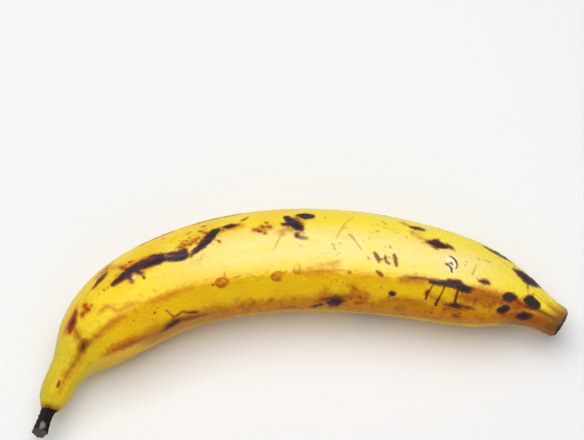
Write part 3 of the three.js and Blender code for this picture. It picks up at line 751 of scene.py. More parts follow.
        "drip's pool": [(448, 305, 1.2), (456, 306.2, 2), (464, 307.4, 1.6), (472, 308.8, 1)],
        "around the low tip bruise": [(515, 315.4, 1), (521, 316.4, 2.2), (529, 316.8, 1.5)],
        "ridge by the scar": [
            (534, 308.6, 0.8), (541, 311.4, 1.1), (548, 315.2, 1.2), (555, 319.6, 1.4),
            (560, 323.6, 1.8),
        ],
        "hollow patch": [(162, 331.8, 0.8), (167, 328, 2), (172.6, 324, 2.4), (178, 320.8, 1.7)],
        "hollow patch, right": [(181, 319.6, 1), (188, 318.8, 1.3), (196, 317.2, 1.4), (206, 314.6, 0.7)],
        "round the underside blotch": [
            (322, 300.4, 1), (328, 299.4, 1.8), (336, 298.6, 2), (343, 300.4, 1.4),
        ],
    },
    "freckled": {
        "over the long bruise": [
            (146, 246, 2), (160, 240, 3.4), (176, 240, 4.4), (190, 238, 5), (202, 230, 4),
            (212, 224, 3),
        ],
        "round the shoulder streak": [(88, 298, 2.6), (96, 290, 3.6), (106, 276, 3), (112, 266, 3)],
        "shoulder": [(88, 308, 3), (98, 314, 4.6), (112, 312, 5), (126, 306, 4.4), (140, 298, 3)],
        "under the left ridge": [(104, 334, 3.4), (118, 326, 3.4), (136, 318, 3), (156, 308, 3)],
        "under the oblique bruise": [(196, 262, 3), (206, 258, 3)],
        "top, right": [(374, 224, 2.6), (386, 226, 4), (396, 232, 3)],
        "crest, middle": [(306, 270, 1.6), (324, 268, 2.8), (344, 270, 2)],
        "face under the crest": [(322, 282, 3), (340, 282, 3.6), (358, 286, 4.6), (372, 292, 4)],
        "lower face, left": [
            (212, 304, 3), (232, 302, 3.4), (252, 300, 3.6), (274, 300, 3.4), (296, 298, 3),
        ],
        "lower face, right": [
            (400, 302, 3.4), (416, 304, 4), (434, 308, 4.4), (452, 312, 4), (474, 312, 3.4),
            (492, 312, 3),
        ],
        "before the tip": [(484, 302, 4), (500, 304, 4), (516, 308, 3.4)],
        "neck": [(66, 366, 2.6), (58, 388, 2.2), (90, 362, 3)],
    },
}

# Marks on the sides that the photograph hides, in the manner of the ones it shows. Each point holds its
# distance along the finger in mm, its degrees round it, and the mark's half width in mm.
HIDDEN_MARKS = {
    "bruise": {
        "back bruise": [(88, -88, 0.8), (95, -92, 1.7), (103, -93, 2.2), (112, -97, 1.6), (118, -98, 0.7)],
        "back dash": [(128, -84, 0.7), (133, -85, 1.1), (137, -84, 0.6)],
        "back pair, left": [(171, -104, 1.4), (176, -107, 2.2), (180, -108, 1.2)],
        "back pair, right": [(188, -99, 0.9), (192, -100, 1.3)],
        "back of the shoulder": [(64, -112, 0.8), (70, -117, 1.4), (76, -119, 0.8)],
        "back ridge": [(206, -74, 0.7), (216, -75, 1.3), (227, -77, 1.6), (236, -78, 0.8)],
        "low back bruise": [(146, -141, 0.8), (153, -139, 1.8), (161, -136, 1.3)],
        "underside bruise": [(118, 158, 0.9), (126, 160, 1.6), (137, 163, 1.9), (145, 163, 0.9)],
        "underside scrap": [(196, 139, 0.8), (201, 141, 1.6), (207, 140, 0.9)],
        "far underside spot": [(236, 168, 1.6), (239, 170, 2.0)],
        "tip's back spot": [(262, -128, 1.3), (266, -130, 1.9), (269, -131, 0.9)],
        "tip's low spot": [(270, 148, 1.5), (273, 150, 1.7)],
    },
    "plum": {
        "around the back bruise": [(84, -86, 0.6), (96, -90, 1.9), (110, -95, 2.0), (121, -99, 0.7)],
        "scrap under the back bruise": [(99, -99, 0.8), (104, -101, 1.1), (107, -103, 0.5)],
        "around the low back bruise": [(143, -142, 0.6), (153, -138, 2.1), (164, -135, 0.9)],
        "tail of the back ridge": [(200, -73, 0.5), (216, -75, 1.5), (241, -79, 0.6)],
        "underside tail": [(113, 157, 0.6), (127, 160, 1.9), (148, 163, 0.7)],
        "long fade": [(214, -132, 0.9), (222, -130, 1.4), (230, -129, 0.9)],
    },
    "rust": {
        "thread over the back bruise": [(92, -80, 0.4), (104, -83, 0.5), (113, -86, 0.4)],
        "back flecks": [(142, -112, 0.6), (144, -113, 0.7)],
        "second back flecks": [(150, -94, 0.5), (153, -95, 0.6)],
        "streak on the low back": [(176, -150, 0.5), (188, -147, 0.8), (196, -146, 0.4)],
        "neck fleck": [(38, -150, 0.5), (42, -149, 0.7)],
        "shoulder streak behind": [(52, -96, 0.4), (60, -101, 0.7), (66, -105, 0.4)],
        "underside streak": [(76, 150, 0.4), (88, 152, 0.9), (97, 155, 0.5)],
        "underside flecks": [(166, 150, 0.7), (168, 151, 0.6)],
        "second underside flecks": [(180, 172, 0.6), (184, 173, 0.7)],
        "back run": [(196, -112, 0.5), (203, -117, 0.6), (209, -124, 0.5)],
        "tip streak": [(248, -104, 0.5), (258, -107, 0.8), (265, -110, 0.5)],
    },
    "tan": {
        "around the back bruise": [(80, -90, 1.0), (100, -95, 2.8), (122, -99, 1.2)],
        "haze of the pair": [(166, -104, 1.4), (178, -105, 2.6), (196, -100, 1.4)],
        "haze of the low back": [(138, -144, 1.2), (154, -139, 2.8), (168, -134, 1.2)],
        "underside rubbing": [(84, 156, 1.8), (110, 160, 3.0), (142, 164, 3.4), (170, 166, 2.2)],
        "underside rubbing, far": [(190, 146, 2.0), (208, 142, 3.0), (228, 152, 2.0)],
        "back ridge": [(190, -72, 0.9), (216, -75, 1.6), (246, -80, 1.2)],
        "low ridge": [(60, 146, 1.0), (90, 147, 1.3), (130, 148, 1.0)],
        "tip's underside": [(262, 150, 1.8), (278, 152, 2.6), (290, 150, 2.6)],
        "tip's back": [(272, -120, 1.4), (286, -124, 2.4), (292, -124, 2.2)],
        "neck's back": [(30, -140, 1.0), (46, -132, 1.2), (60, -124, 0.9)],
    },
    "amber": {
        "ring on the back": [
            (158, -117, 0.4), (160.5, -121, 0.4), (164, -121, 0.4), (166, -117, 0.4), (164, -113, 0.4),
            (160, -113, 0.4), (158, -117, 0.4),
        ],
        "core of the ring": [(160.5, -117, 1.1), (163, -117, 1.1)],
        "back smear": [(130, -128, 0.7), (135, -129, 1.0)],
        "underside smear": [(154, 142, 0.9), (159, 143, 0.8)],
    },
    "olive": {
        "back scratch": [(134, -98, 0.3), (140, -103, 0.4), (148, -106, 0.3)],
        "second back scratch": [(182, -124, 0.3), (186, -130, 0.4), (188, -136, 0.3)],
        "underside scratch": [(148, 148, 0.3), (156, 154, 0.4)],
    },
    "umber": {
        "low lip of the scar": [(288, 140, 1.6), (292, 160, 2.0)],
        "back lip of the scar": [(290, -120, 1.4), (292, -140, 1.8)],
    },
}


def paint(red, green, blue):
    """A colour read on the 0 to 255 scale, as the shader's linear values."""
    shares = [value / 255 for value in (red, green, blue)]
    return (*(s / 12.92 if s < 0.04045 else ((s + 0.055) / 1.055) ** 2.4 for s in shares), 1.0)


def smooth(value, low, high):
    """0 below low, 1 above high, and a smooth step between."""
    share = np.clip((value - low) / (high - low), 0, 1)
    return share * share * (3 - 2 * share)


def along(profile, distance):
    """A smooth curve through a profile's rows, read at each distance."""
    at, value = np.array(profile, float).T
    last = len(at) - 1
    before = np.maximum(np.arange(last + 1) - 1, 0)
    after = np.minimum(np.arange(last + 1) + 1, last)
    slope = (value[after] - value[before]) / (at[after] - at[before])
    place = np.clip(distance, at[0], at[last])
    row = np.clip(np.searchsorted(at, place) - 1, 0, last - 1)
    span = at[row + 1] - at[row]
    t = (place - at[row]) / span
    blend = (3 - 2 * t) * t * t
    leaving = t * (1 - t) ** 2 * span * slope[row]
    arriving = t * t * (1 - t) * span * slope[row + 1]
    return value[row] + blend * (value[row + 1] - value[row]) + leaving - arriving


def spine(distance):
    """The spine's points and its directions: forward, towards the hollow side, and up."""
    step = 0.5
    walked = np.arange(0, FINGER_LENGTH + step, step)
    way = np.radians(along(HEADING, walked[:-1] + step / 2))
    east = np.concatenate([[0], np.cumsum(np.cos(way) * step)])
    north = np.concatenate([[0], np.cumsum(np.sin(way) * step)])
    height = along(HEIGHT, distance) - SETTLED_DEPTH
    points = np.stack([np.interp(distance, walked, east), np.interp(distance, walked, north), height], 1)
    heading = np.radians(along(HEADING, distance))
    climb = (along(HEIGHT, distance + step) - along(HEIGHT, distance - step)) / (2 * step)
    forward = np.stack([np.cos(heading), np.sin(heading), climb], 1)
    forward /= np.linalg.norm(forward, axis=1, keepdims=True)
    hollow = np.cross(forward, [0, 0, 1])
    hollow /= np.linalg.norm(hollow, axis=1, keepdims=True)
    return points, forward, hollow, np.cross(hollow, forward)


def wrapped(degrees):
    """An angle brought into -180 to 180."""
    return (degrees + 180) % 360 - 180


def section_radius(distance, degrees):
    """The radius of the section with its ridges, or with wrinkles on the stem."""
    turned = degrees - along(TWIST, distance)
    swell = np.zeros_like(distance)
    for at, height, reach in RIDGES:
        rounded = np.hypot(wrapped(turned - at), CREST_ROUNDING) - CREST_ROUNDING
        swell += height * np.exp(-rounded / reach)
    wrinkle = WRINKLE_HEIGHT * np.cos(np.radians(STEM_WRINKLES * degrees + WRINKLE_SPIRAL * distance))
    on_stem = 1 - smooth(distance, *STEM_FOOT)
    relief = swell * along(CREST, distance) * (1 - on_stem) + wrinkle * on_stem
    return BELLY_RADIUS * along(GIRTH, distance) * (1 + relief)


def bent(distance, degrees, share):
    """Points of the finger in mm: how far along, how far round, and how far out from the spine, to 1."""
    points, forward, hollow, up = spine(distance)
    angle = np.radians(degrees)
    radius = section_radius(distance, degrees) * share
    points = points + up * (radius * np.cos(angle))[:, None] + hollow * (radius * np.sin(angle))[:, None]
    lobe = np.cos(np.radians(TEAR_LOBES * degrees + TEAR_TURN))
    tear = np.where(distance == 0, TEAR_EDGE * share * lobe - TEAR_HEIGHT * (1 - share), 0)
    scar = np.where(distance == FINGER_LENGTH, SCAR_HEIGHT * (1 - share**SCAR_BLUNTNESS), 0)
    points = points + forward * (tear + scar)[:, None]
    points[:, 2] = np.maximum(points[:, 2], 0)
    return points


def drum():
    """A closed drum of radius 1 whose height is the distance along the finger, spun from one profile."""
    bm = bmesh.new()
    count = round(FINGER_LENGTH / RING_SPACING)
    rings = [FINGER_LENGTH * i / count for i in range(count + 1)]
    profile = [(share, 0.0) for share in CAP_SHARES]
    profile += [(1.0, ring) for ring in rings]
    profile += [(share, float(FINGER_LENGTH)) for share in reversed(CAP_SHARES)]
    line = [bm.verts.new((share, 0.0, ring)) for share, ring in profile]
    edges = [bm.edges.new(pair) for pair in zip(line, line[1:])]
    bmesh.ops.spin(
        bm, geom=line + edges, cent=(0, 0, 0), axis=(0, 0, 1), dvec=(0, 0, 0),
        angle=math.tau, steps=AROUND, use_merge=True,
    )
    bmesh.ops.remove_doubles(bm, verts=bm.verts, dist=1e-5)
    bmesh.ops.recalc_face_normals(bm, faces=bm.faces)
    mesh = bpy.data.meshes.new("plantain_peel")
    bm.to_mesh(mesh)
    bm.free()
    return mesh


class Peel:
    """The mesh of the finger, with how far along and how far round each of its points is."""

    def __init__(self):
        self.mesh = drum()
        flat = self.read("points")
        self.distance = flat[:, 2]
        self.share = np.hypot(flat[:, 0], flat[:, 1])
        self.degrees = np.degrees(np.arctan2(-flat[:, 0], flat[:, 1]))
        self.turned = self.degrees - along(TWIST, self.distance)
        points = bent(self.distance, self.degrees, self.share)
        box_low, box_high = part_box("plantain")
        self.shift = (np.array(box_low + box_high) / MM - points.min(0) - points.max(0)) / 2
        self.shift[2] = box_low.z / MM - points[:, 2].min()
        self.points = points + self.shift
        self.move(self.points)
        self.normals = self.read("normals")
        polygons = [tuple(face.vertices) for face in self.mesh.polygons]
        self.tree = BVHTree.FromPolygons([Vector(point) for point in self.points], polygons)

    def read(self, what):
        """The mesh's points or normals as rows of three numbers."""
        values = np.zeros(len(self.mesh.vertices) * 3, np.float32)
        if what == "points":
            self.mesh.vertices.foreach_get("co", values)
        else:
            self.mesh.vertex_normals.foreach_get("vector", values)
        return values.reshape(-1, 3).astype(float)

    def move(self, points):
        """Puts the mesh's points, given in mm, in their place in metres."""
        self.mesh.vertices.foreach_set("co", (points * MM).astype(np.float32).ravel())
        self.mesh.update()

    def keep(self, name, values):
        """Keeps one number a point on the mesh, for the material to read."""
        layer = self.mesh.attributes.new(name, "FLOAT", "POINT")
        layer.data.foreach_set("value", values.astype(np.float32))

    def seen_at(self, x, y):
        """The point of the peel, in mm, that the camera sees at a pixel of the photograph."""
        eye = AIM + TOWARDS_CAMERA * CAMERA_DISTANCE
        right = CAMERA_RIGHT * (x - PHOTO_WIDTH / 2) * MM_PER_PIXEL
        down = CAMERA_UP * (y - PHOTO_HEIGHT / 2) * MM_PER_PIXEL
        ray = (AIM + right - down - eye).normalized()
        hit = self.tree.ray_cast(eye, ray)[0]
        if hit is None:
            hit = self.tree.find_nearest(eye + ray * self.nearest_depth(eye, ray))[0]
        return np.array(hit)

    def nearest_depth(self, eye, ray):
        """How far along a ray that misses the peel the ray passes nearest to it."""
        away = self.points - np.array(eye)
        ahead = away @ np.array(ray)
        gap = np.linalg.norm(away - ahead[:, None] * np.array(ray), axis=1)
        return ahead[gap.argmin()]

    def clearance(self, strokes):
        """How far each point of the peel is outside the nearest stroke, in mm: below zero inside it."""
        nearest = np.full(len(self.points), FAR_OFF)
        for points, halves in strokes:
            low = points.min(0) - FAR_OFF
            high = points.max(0) + FAR_OFF
            near = np.flatnonzero(((self.points > low) & (self.points < high)).all(1))
            spots = self.points[near]
            gap = nearest[near]
            for start, end, half_start, half_end in zip(points, points[1:], halves, halves[1:]):
                run = end - start
                share = np.clip((spots - start) @ run / max(run @ run, 1e-9), 0, 1)
                away = np.linalg.norm(spots - start - share[:, None] * run, axis=1)
                gap = np.minimum(gap, away - (half_start + (half_end - half_start) * share))
            nearest[near] = gap
        return nearest

    def stroke(self, mark, photographed):
        """A mark's line of points as closer points on the peel, in mm, with their half widths."""
        rows = np.array(mark, float)
        steps = np.abs(np.diff(rows[:, :2], axis=0)).max(1)
        at = np.concatenate([[0], np.cumsum(np.maximum(steps, 1e-6))])
        fine = np.linspace(0, at[-1], max(2, math.ceil(at[-1] / STROKE_STEP) + 1))
        first, second, halves = (np.interp(fine, at, column) for column in rows.T)
        if photographed:
            return np.array([self.seen_at(x, y) for x, y in zip(first, second)]), halves
        return bent(first, second, np.ones_like(first)) + self.shift, halves

    def marked(self, kind):
        """The clearance of each point from the marks of one kind, on the seen and the hidden sides."""
        strokes = [self.stroke(mark, True) for mark in MARKS[kind].values()]
        strokes += [self.stroke(mark, False) for mark in HIDDEN_MARKS.get(kind, {}).values()]
        return self.clearance(strokes)

    def between(self, start, end, soft):
        """1 on the side of the finger between two angles, and 0 elsewhere, with soft edges."""
        half = (end - start) / 2
        off = np.abs(wrapped(self.turned - (start + end) / 2))
        return 1 - smooth(off, half - soft, half + soft)

    def straightened(self):
        """The points of the finger as if its spine were straight and its ridges were gone, in mm."""
        angle = np.radians(self.degrees)
        radius = BELLY_RADIUS * along(GIRTH, self.distance) * self.share
        return np.stack([np.sin(angle) * radius, np.cos(angle) * radius, self.distance], 1)

    def rough(self, height, size, stretch, start):
        """An even noise of a height and a size in mm, stretched along the finger and read from a start."""
        places = self.straightened()
        places[:, 2] /= stretch
        return height * np.array([noise.noise(Vector((x + start, y, z))) for x, y, z in places / size])


def relief(peel, gaps):
    """How far each point stands off the smooth finger, in mm: skin, fibres, wrinkles, bruises and scars."""
    on_stem = 1 - smooth(peel.distance, *STEM_FOOT)
    on_neck = (1 - smooth(peel.distance, *NECK_GOES)) * (1 - on_stem)
    on_tip = smooth(peel.distance, *TIP_COMES)
    skin = peel.rough(*SKIN_SWELL) + peel.rough(*SKIN_GRAIN)
    fibre_height = FIBRE_HEIGHT + FIBRE_HEIGHT_ON_NECK * on_neck + FIBRE_HEIGHT_ON_TIP * on_tip
    fibres = peel.rough(*FIBRES) * fibre_height
    stem = on_stem * (peel.rough(*STEM_FOLDS) + peel.rough(*STEM_GRAIN))
    ends = np.where(peel.share < 1, peel.rough(*TORN_GRAIN), 0)
    bruised = BRUISE_DEPTH * smooth(-gaps["bruise"], *BRUISE_EDGE)
    scars = ROUND_SCAR_HEIGHT * smooth(-gaps["amber"], *SCAR_EDGE)
    scratches = SCRATCH_DEPTH * smooth(-gaps["dot"], *SCRATCH_EDGE)
    return (skin + fibres) * (1 - on_stem) + stem + ends - bruised + (scars - scratches)


def crests(peel):
    """Where the crests of the ridges run, from 0 to 1."""
    ridges = [
        height / CREST_IN_FULL * np.exp(-((wrapped(peel.turned - at) / CREST_WIDTH) ** 2))
        for at, height, _ in RIDGES
    ]
    return np.clip(sum(ridges), 0, 1)


def tones(peel):
    """Where each tone of the sound peel lies, from 0 to 1: the pale top is a painted highlight, and the
    golden face, the bands and the low tip hold painted shade besides the peel's own colour.
    """

    def come(stretch):
        """How far a tone has come in, from 0 to 1, that comes in over a stretch of the finger."""
        return smooth(peel.distance, *stretch)

    band_start, band_end, band_soft = BROWN_AND_SHADE_BAND
    band_start = band_start - BAND_WIDENS_BY * come(BAND_WIDENS)
    return {
        "pale": peel.between(*PAINTED_HIGHLIGHT_TOP) * (come(PAINTED_HIGHLIGHT_COMES) * (1 - come(PAINTED_HIGHLIGHT_GOES))),
        "golden": peel.between(*GOLDEN_FACE_WITH_SHADE),
        "band": peel.between(band_start, band_end, band_soft) * come(BAND_COMES),
        "dusky": peel.between(*DUSKY_SHADED_BAND) * come(DUSK_COMES) * (1 - come(DUSK_GOES)),
        "canary": peel.between(*CANARY_BACK) * come(CANARY_COMES),
        "shaded": peel.between(*SHADED_SIDE),
        "crest": crests(peel) * come(CREST_COMES),
        "green": 1 - come(GREEN_GOES),
        "low_tip": peel.between(*LOW_TIP_BROWN_AND_SHADE) * come(LOW_TIP_COMES),
    }


def lay_out(peel):
    """A flat map of the peel, with its length across and the way round up, cut along the underside."""
    mesh = peel.mesh
    corners = np.zeros(len(mesh.loops), np.int32)
    mesh.loops.foreach_get("vertex_index", corners)
    whole = FINGER_LENGTH + 2 * CAP_ON_MAP
    cap = CAP_ON_MAP * (1 - peel.share)
    run = peel.distance + np.where(peel.distance > FINGER_LENGTH / 2, cap, -cap)
    across = (run + CAP_ON_MAP) / whole
    up = (peel.degrees + 180) / 360
    places = np.stack([across[corners], up[corners]], 1)
    at_pole = peel.share[corners] < POLE_SHARE
    for face in mesh.polygons:
        loops = list(face.loop_indices)
        rows = places[loops, 1]
        outer = [loop for loop in loops if not at_pole[loop]]
        if rows[~at_pole[loops]].max() - rows[~at_pole[loops]].min() > 0.5:
            for loop in outer:
                if places[loop, 1] < 0.5:
                    places[loop, 1] += 1
        for loop in loops:
            if at_pole[loop]:
                places[loop, 1] = places[outer, 1].mean()
    layer = mesh.uv_layers.new(name="OFBake")
    layer.data.foreach_set("uv", np.clip(places, 0, 1).astype(np.float32).ravel())


def peel_piece():
    """The whole finger as one fine mesh, with its tones and marks kept on it as numbers."""
    peel = Peel()
    gaps = {kind: peel.marked(kind) for kind in MARKS}
    for name, values in {**gaps, **tones(peel)}.items():
        peel.keep(name, values)
    peel.keep("along_mm", peel.distance)
    peel.keep("cut", 1 - peel.share)
    peel.keep("towards_hollow", np.sin(np.radians(peel.degrees)))
    layer = peel.mesh.attributes.new("straight_mm", "FLOAT_VECTOR", "POINT")
    layer.data.foreach_set("vector", peel.straightened().astype(np.float32).ravel())
    lay_out(peel)
    moved = peel.points + peel.normals * relief(peel, gaps)[:, None]
    moved[:, 2] = np.maximum(moved[:, 2], cad_low.z / MM)
    peel.move(moved)
    for face in peel.mesh.polygons:
        face.use_smooth = True
    piece = bpy.data.objects.new("plantain_peel", peel.mesh)
    bpy.context.scene.collection.objects.link(piece)
    return piece


class Nodes:
    """Short forms for building one material's nodes."""

    def __init__(self, tree):
        self.tree = tree

    def new(self, kind, **inputs):
        """A new node of a kind, with its named inputs given."""
        node = self.tree.nodes.new(kind)
        for name, value in inputs.items():
            self.give(node.inputs[name.replace("_", " ")], value)
        return node

    def give(self, socket, value):
        """Links another socket to this one, or sets its value."""
        if isinstance(value, bpy.types.NodeSocket):
            self.tree.links.new(value, socket)
        else:
            socket.default_value = value

    def read(self, name, output="Fac"):
        """What the mesh keeps under a name."""
        node = self.tree.nodes.new("ShaderNodeAttribute")
        node.attribute_name = name
        return node.outputs[output]

    def math(self, operation, first, second=0.0, third=0.0):
        """Two or three values put together by an operation."""
        node = self.tree.nodes.new("ShaderNodeMath")
        node.operation = operation
        for socket, value in zip(node.inputs, (first, second, third)):
            self.give(socket, value)
        return node.outputs[0]

    def times(self, first, second):
        """One value times another."""
        return self.math("MULTIPLY", first, second)

    def larger(self, first, second):
        """The larger of two values."""
        return self.math("MAXIMUM", first, second)

    def swing(self, value, noise_value, reach):
        """A value moved up and down by a noise, by as much as half the reach."""
        off_middle = self.math("SUBTRACT", noise_value, 0.5)
        return self.math("ADD", value, self.times(off_middle, reach))

    def ramp(self, value, low, high, to_low=0.0, to_high=1.0):
        """A smooth step from one value to another between low and high."""
        node = self.tree.nodes.new("ShaderNodeMapRange")
        node.interpolation_type = "SMOOTHSTEP"
        for socket, given in zip(node.inputs, (value, low, high, to_low, to_high)):
            self.give(socket, given)
        return node.outputs[0]

    def mix(self, share, first, second):
        """The first colour with a share of the second over it."""
        node = self.tree.nodes.new("ShaderNodeMix")
        node.data_type = "RGBA"
        self.give(node.inputs[0], share)
        self.give(node.inputs[6], first)
        self.give(node.inputs[7], second)
        return node.outputs[2]

    def scaled(self, vector, by):
        """A vector stretched or squeezed along its axes."""
        node = self.tree.nodes.new("ShaderNodeVectorMath")
        node.operation = "MULTIPLY"
        self.give(node.inputs[0], vector)
        self.give(node.inputs[1], by)
        return node.outputs[0]

    def noise(self, vector, scale, detail, rough):
        """A noise of a scale, a detail and a roughness."""
        node = self.new("ShaderNodeTexNoise", Vector=vector, Scale=scale, Detail=detail, Roughness=rough)
        return node.outputs["Fac"]

    def flecks(self, vector, scale, size, kept):
        """Small round flecks: cells to the mm, largest radius in mm, and the share of cells with one."""
        node = self.new("ShaderNodeTexVoronoi", Vector=vector, Scale=scale)
        draw = self.tree.nodes.new("ShaderNodeSeparateColor")
        self.give(draw.inputs[0], node.outputs["Color"])
        there = self.ramp(draw.outputs[0], kept, kept - 0.02)
        largest = size * scale
        radius = self.ramp(draw.outputs[1], 0.0, 1.0, LEAST_FLECK * largest, largest)
        outside = self.math("SUBTRACT", node.outputs["Distance"], radius)
        return self.times(there, self.ramp(outside, 0.0, -FLECK_EDGE * largest))


def noises(n, straight):
    """The noises that break up the colours, by name."""
    drawn_out = n.scaled(straight, PATCH_STRETCH)
    return {
        "broad": n.noise(straight, *BROAD),
        "patchy": n.noise(drawn_out, *PATCHY),
        "blotched": n.noise(straight, *BLOTCHED),
        "blotchy": n.noise(straight, *BLOTCHY),
        "ragged": n.noise(drawn_out, *RAGGED),
        "fibres": n.noise(n.scaled(straight, FIBRE_STRETCH), *FIBROUS),
        "spattered": n.noise(straight, *SPATTERED),
        "fine": n.noise(straight, *FINE),
    }


def sound_peel(n, by):
    """The colour of the peel where nothing marks it, with a painted highlight on the top and painted shade
    on the lower faces.
    """
    colour = n.mix(n.ramp(by["broad"], 0.35, 0.68), paint(*LEMON), paint(*BUTTER))
    colour = n.mix(n.times(n.read("canary"), 0.8), colour, paint(*CANARY))
    # A painted highlight: cream over the top of the belly
    colour = n.mix(n.times(n.read("pale"), n.ramp(by["patchy"], 0.3, 0.6, 0.6, 1.0)), colour, paint(*HIGHLIGHT_CREAM))
    # The face below the main ridge: the peel's deeper gold, darkened with painted shade
    golden = n.ramp(n.swing(n.read("golden"), by["patchy"], 0.5), 0.2, 0.8)
    gold = n.mix(n.ramp(by["broad"], 0.35, 0.65), paint(*GOLD), paint(*OLD_GOLD))
    colour = n.mix(golden, colour, gold)

    # The dusky band low on the shoulder's hollow side: browned peel with painted shade in it
    dusky = n.ramp(n.swing(n.read("dusky"), by["ragged"], 1.0), 0.1, 0.9, 0.0, 0.75)
    colour = n.mix(dusky, colour, paint(*DUSK))
    # The band low on the hollow side: browned peel with painted shade in it
    band = n.ramp(n.swing(n.read("band"), by["patchy"], 0.9), 0.05, 0.9)
    colour = n.mix(n.times(band, 0.9), colour, paint(*CARAMEL))
    blotches = n.times(n.ramp(by["blotched"], 0.46, 0.68), 0.75)
    colour = n.mix(n.times(band, blotches), colour, paint(*SIENNA))

    colour = n.mix(n.times(n.read("shaded"), 0.7), colour, paint(*OCHRE))
    green = n.times(n.read("green"), n.ramp(by["fibres"], 0.3, 0.7, 0.45, 0.95))
    colour = n.mix(green, colour, paint(*LIME))
    crest = n.times(n.read("crest"), n.ramp(by["ragged"], 0.4, 0.62))
    colour = n.mix(n.times(crest, 0.55), colour, paint(*HONEY))
    colour = n.mix(n.ramp(by["fibres"], 0.52, 0.78, 0.0, 0.2), colour, paint(*HONEY))
    colour = n.mix(n.ramp(by["ragged"], 0.56, 0.78, 0.0, 0.3), colour, paint(*HONEY))
    # The low faces of the tip: browned peel with painted shade on them
    low_tip = n.ramp(n.swing(n.read("low_tip"), by["patchy"], 0.6), 0.1, 0.9, 0.0, 0.85)
    return n.mix(low_tip, colour, paint(*TIP_BROWN))


def laid_over(n, colour, by, marks):
    """A colour with some kinds of mark laid over it, layer by layer."""
    for kind, fray, reach, layers in marks:
        edge = n.swing(n.read(kind), by[fray], reach)
        for outer, inner, strength, tone in layers:
            colour = n.mix(n.ramp(edge, outer, inner, 0.0, strength), colour, paint(*tone))
    return colour


def bruise_cores(n, colour, by):
    """A colour with plum, slate and green in the bruises' cores, and where those cores are."""
    core = n.ramp(n.swing(n.read("bruise"), by["ragged"], 1.8), -0.2, -1.2)
    far_along = n.ramp(n.read("along_mm"), *BRUISES_GREEN, 0.0, 0.6)
    greened = n.larger(n.ramp(by["patchy"], 0.5, 0.62, 0.0, 0.7), far_along)
    colour = n.mix(n.times(core, n.ramp(by["blotchy"], 0.5, 0.62, 0.0, 0.7)), colour, paint(*PLUM))
    colour = n.mix(n.times(core, n.ramp(by["fibres"], 0.48, 0.62, 0.0, 0.8)), colour, paint(*SLATE))
    return n.mix(n.times(core, greened), colour, paint(*GREEN_BLACK)), core


def marked_peel(n, colour, straight, by):
    """The colour with all marks and flecks laid over it, and where the bruises are thick."""
    colour = laid_over(n, colour, by, STAINS)

    freckled = n.ramp(n.read("freckled"), 0.8, -2.5)
    colour = n.mix(n.times(freckled, n.ramp(by["ragged"], 0.5, 0.66, 0.0, 0.45)), colour, paint(*HONEY))
    freckles = n.times(n.flecks(straight, *FRECKLES), 0.7)
    colour = n.mix(n.times(freckled, freckles), colour, paint(*SIENNA))

    near_bruise = n.ramp(n.math("MINIMUM", n.read("bruise"), n.read("plum")), 3.4, 0.2)
    spatter = n.times(near_bruise, n.ramp(by["spattered"], 0.6, 0.66, 0.0, 0.7))
    colour = n.mix(spatter, colour, paint(*RUSSET))
    dark_spatter = n.times(near_bruise, n.ramp(by["spattered"], 0.66, 0.72, 0.0, 0.8))
    colour = n.mix(dark_spatter, colour, paint(*MAROON))

    colour = laid_over(n, colour, by, BLEMISHES)
    colour, core = bruise_cores(n, colour, by)
    colour = n.mix(n.times(n.flecks(straight, *OLIVE_FLECKS), 0.6), colour, paint(*OLIVE))
    return n.mix(n.times(n.flecks(straight, *BROWN_FLECKS), 0.8), colour, paint(*RUSSET)), core


def dry_stem(n, colour, by):
    """The colour with the black stem, a painted highlight on it, and its torn end over it, and where the
    stem is.
    """
    distance = n.read("along_mm")
    turned_back = n.times(n.read("towards_hollow"), -0.8)
    edge = n.math("ADD", n.swing(distance, by["ragged"], 2.4), turned_back)
    colour = n.mix(n.ramp(edge, *STEM_STAIN, 0.0, 0.75), colour, paint(*RUSSET))
    on_stem = n.ramp(edge, *STEM_BLACKENS)
    stem_tone = n.mix(n.ramp(by["fibres"], 0.45, 0.72), paint(*STEM_BLACK), paint(*STEM_GREY))
    colour = n.mix(on_stem, colour, stem_tone)
    # A painted highlight on the stem: a grey patch where its shine would be
    stem_highlight = n.ramp(n.swing(n.read("ash"), by["ragged"], 1.8), 0.6, -0.9, 0.0, 0.9)
    colour = n.mix(stem_highlight, colour, paint(*STEM_HIGHLIGHT_GREY))
    torn = n.times(n.ramp(distance, *STEM_TORN), n.ramp(by["ragged"], 0.3, 0.6, 0.4, 1.0))
    torn_tone = n.mix(n.ramp(by["fine"], 0.4, 0.65), paint(*TORN_BROWN), paint(*TORN_GREY))
    return n.mix(torn, colour, torn_tone), on_stem


def blossom_scar(n, colour, by):
    """The colour with the browned tip and its black scar over it, and where the scar is."""
    distance = n.read("along_mm")
    browned = n.ramp(n.swing(distance, by["ragged"], 4.0), *TIP_STAIN, 0.0, 0.75)
    colour = n.mix(browned, colour, paint(*TIP_BROWN))
    on_face = n.ramp(n.swing(n.read("cut"), by["ragged"], 0.5), 0.06, 0.24)
    at_scar = n.times(on_face, n.ramp(distance, *SCAR_BLACKENS))
    scar_tone = n.mix(n.ramp(by["fine"], 0.4, 0.7), paint(*SCAR_BLACK), paint(*SCAR_OLIVE))
    return n.mix(at_scar, colour, scar_tone), at_scar


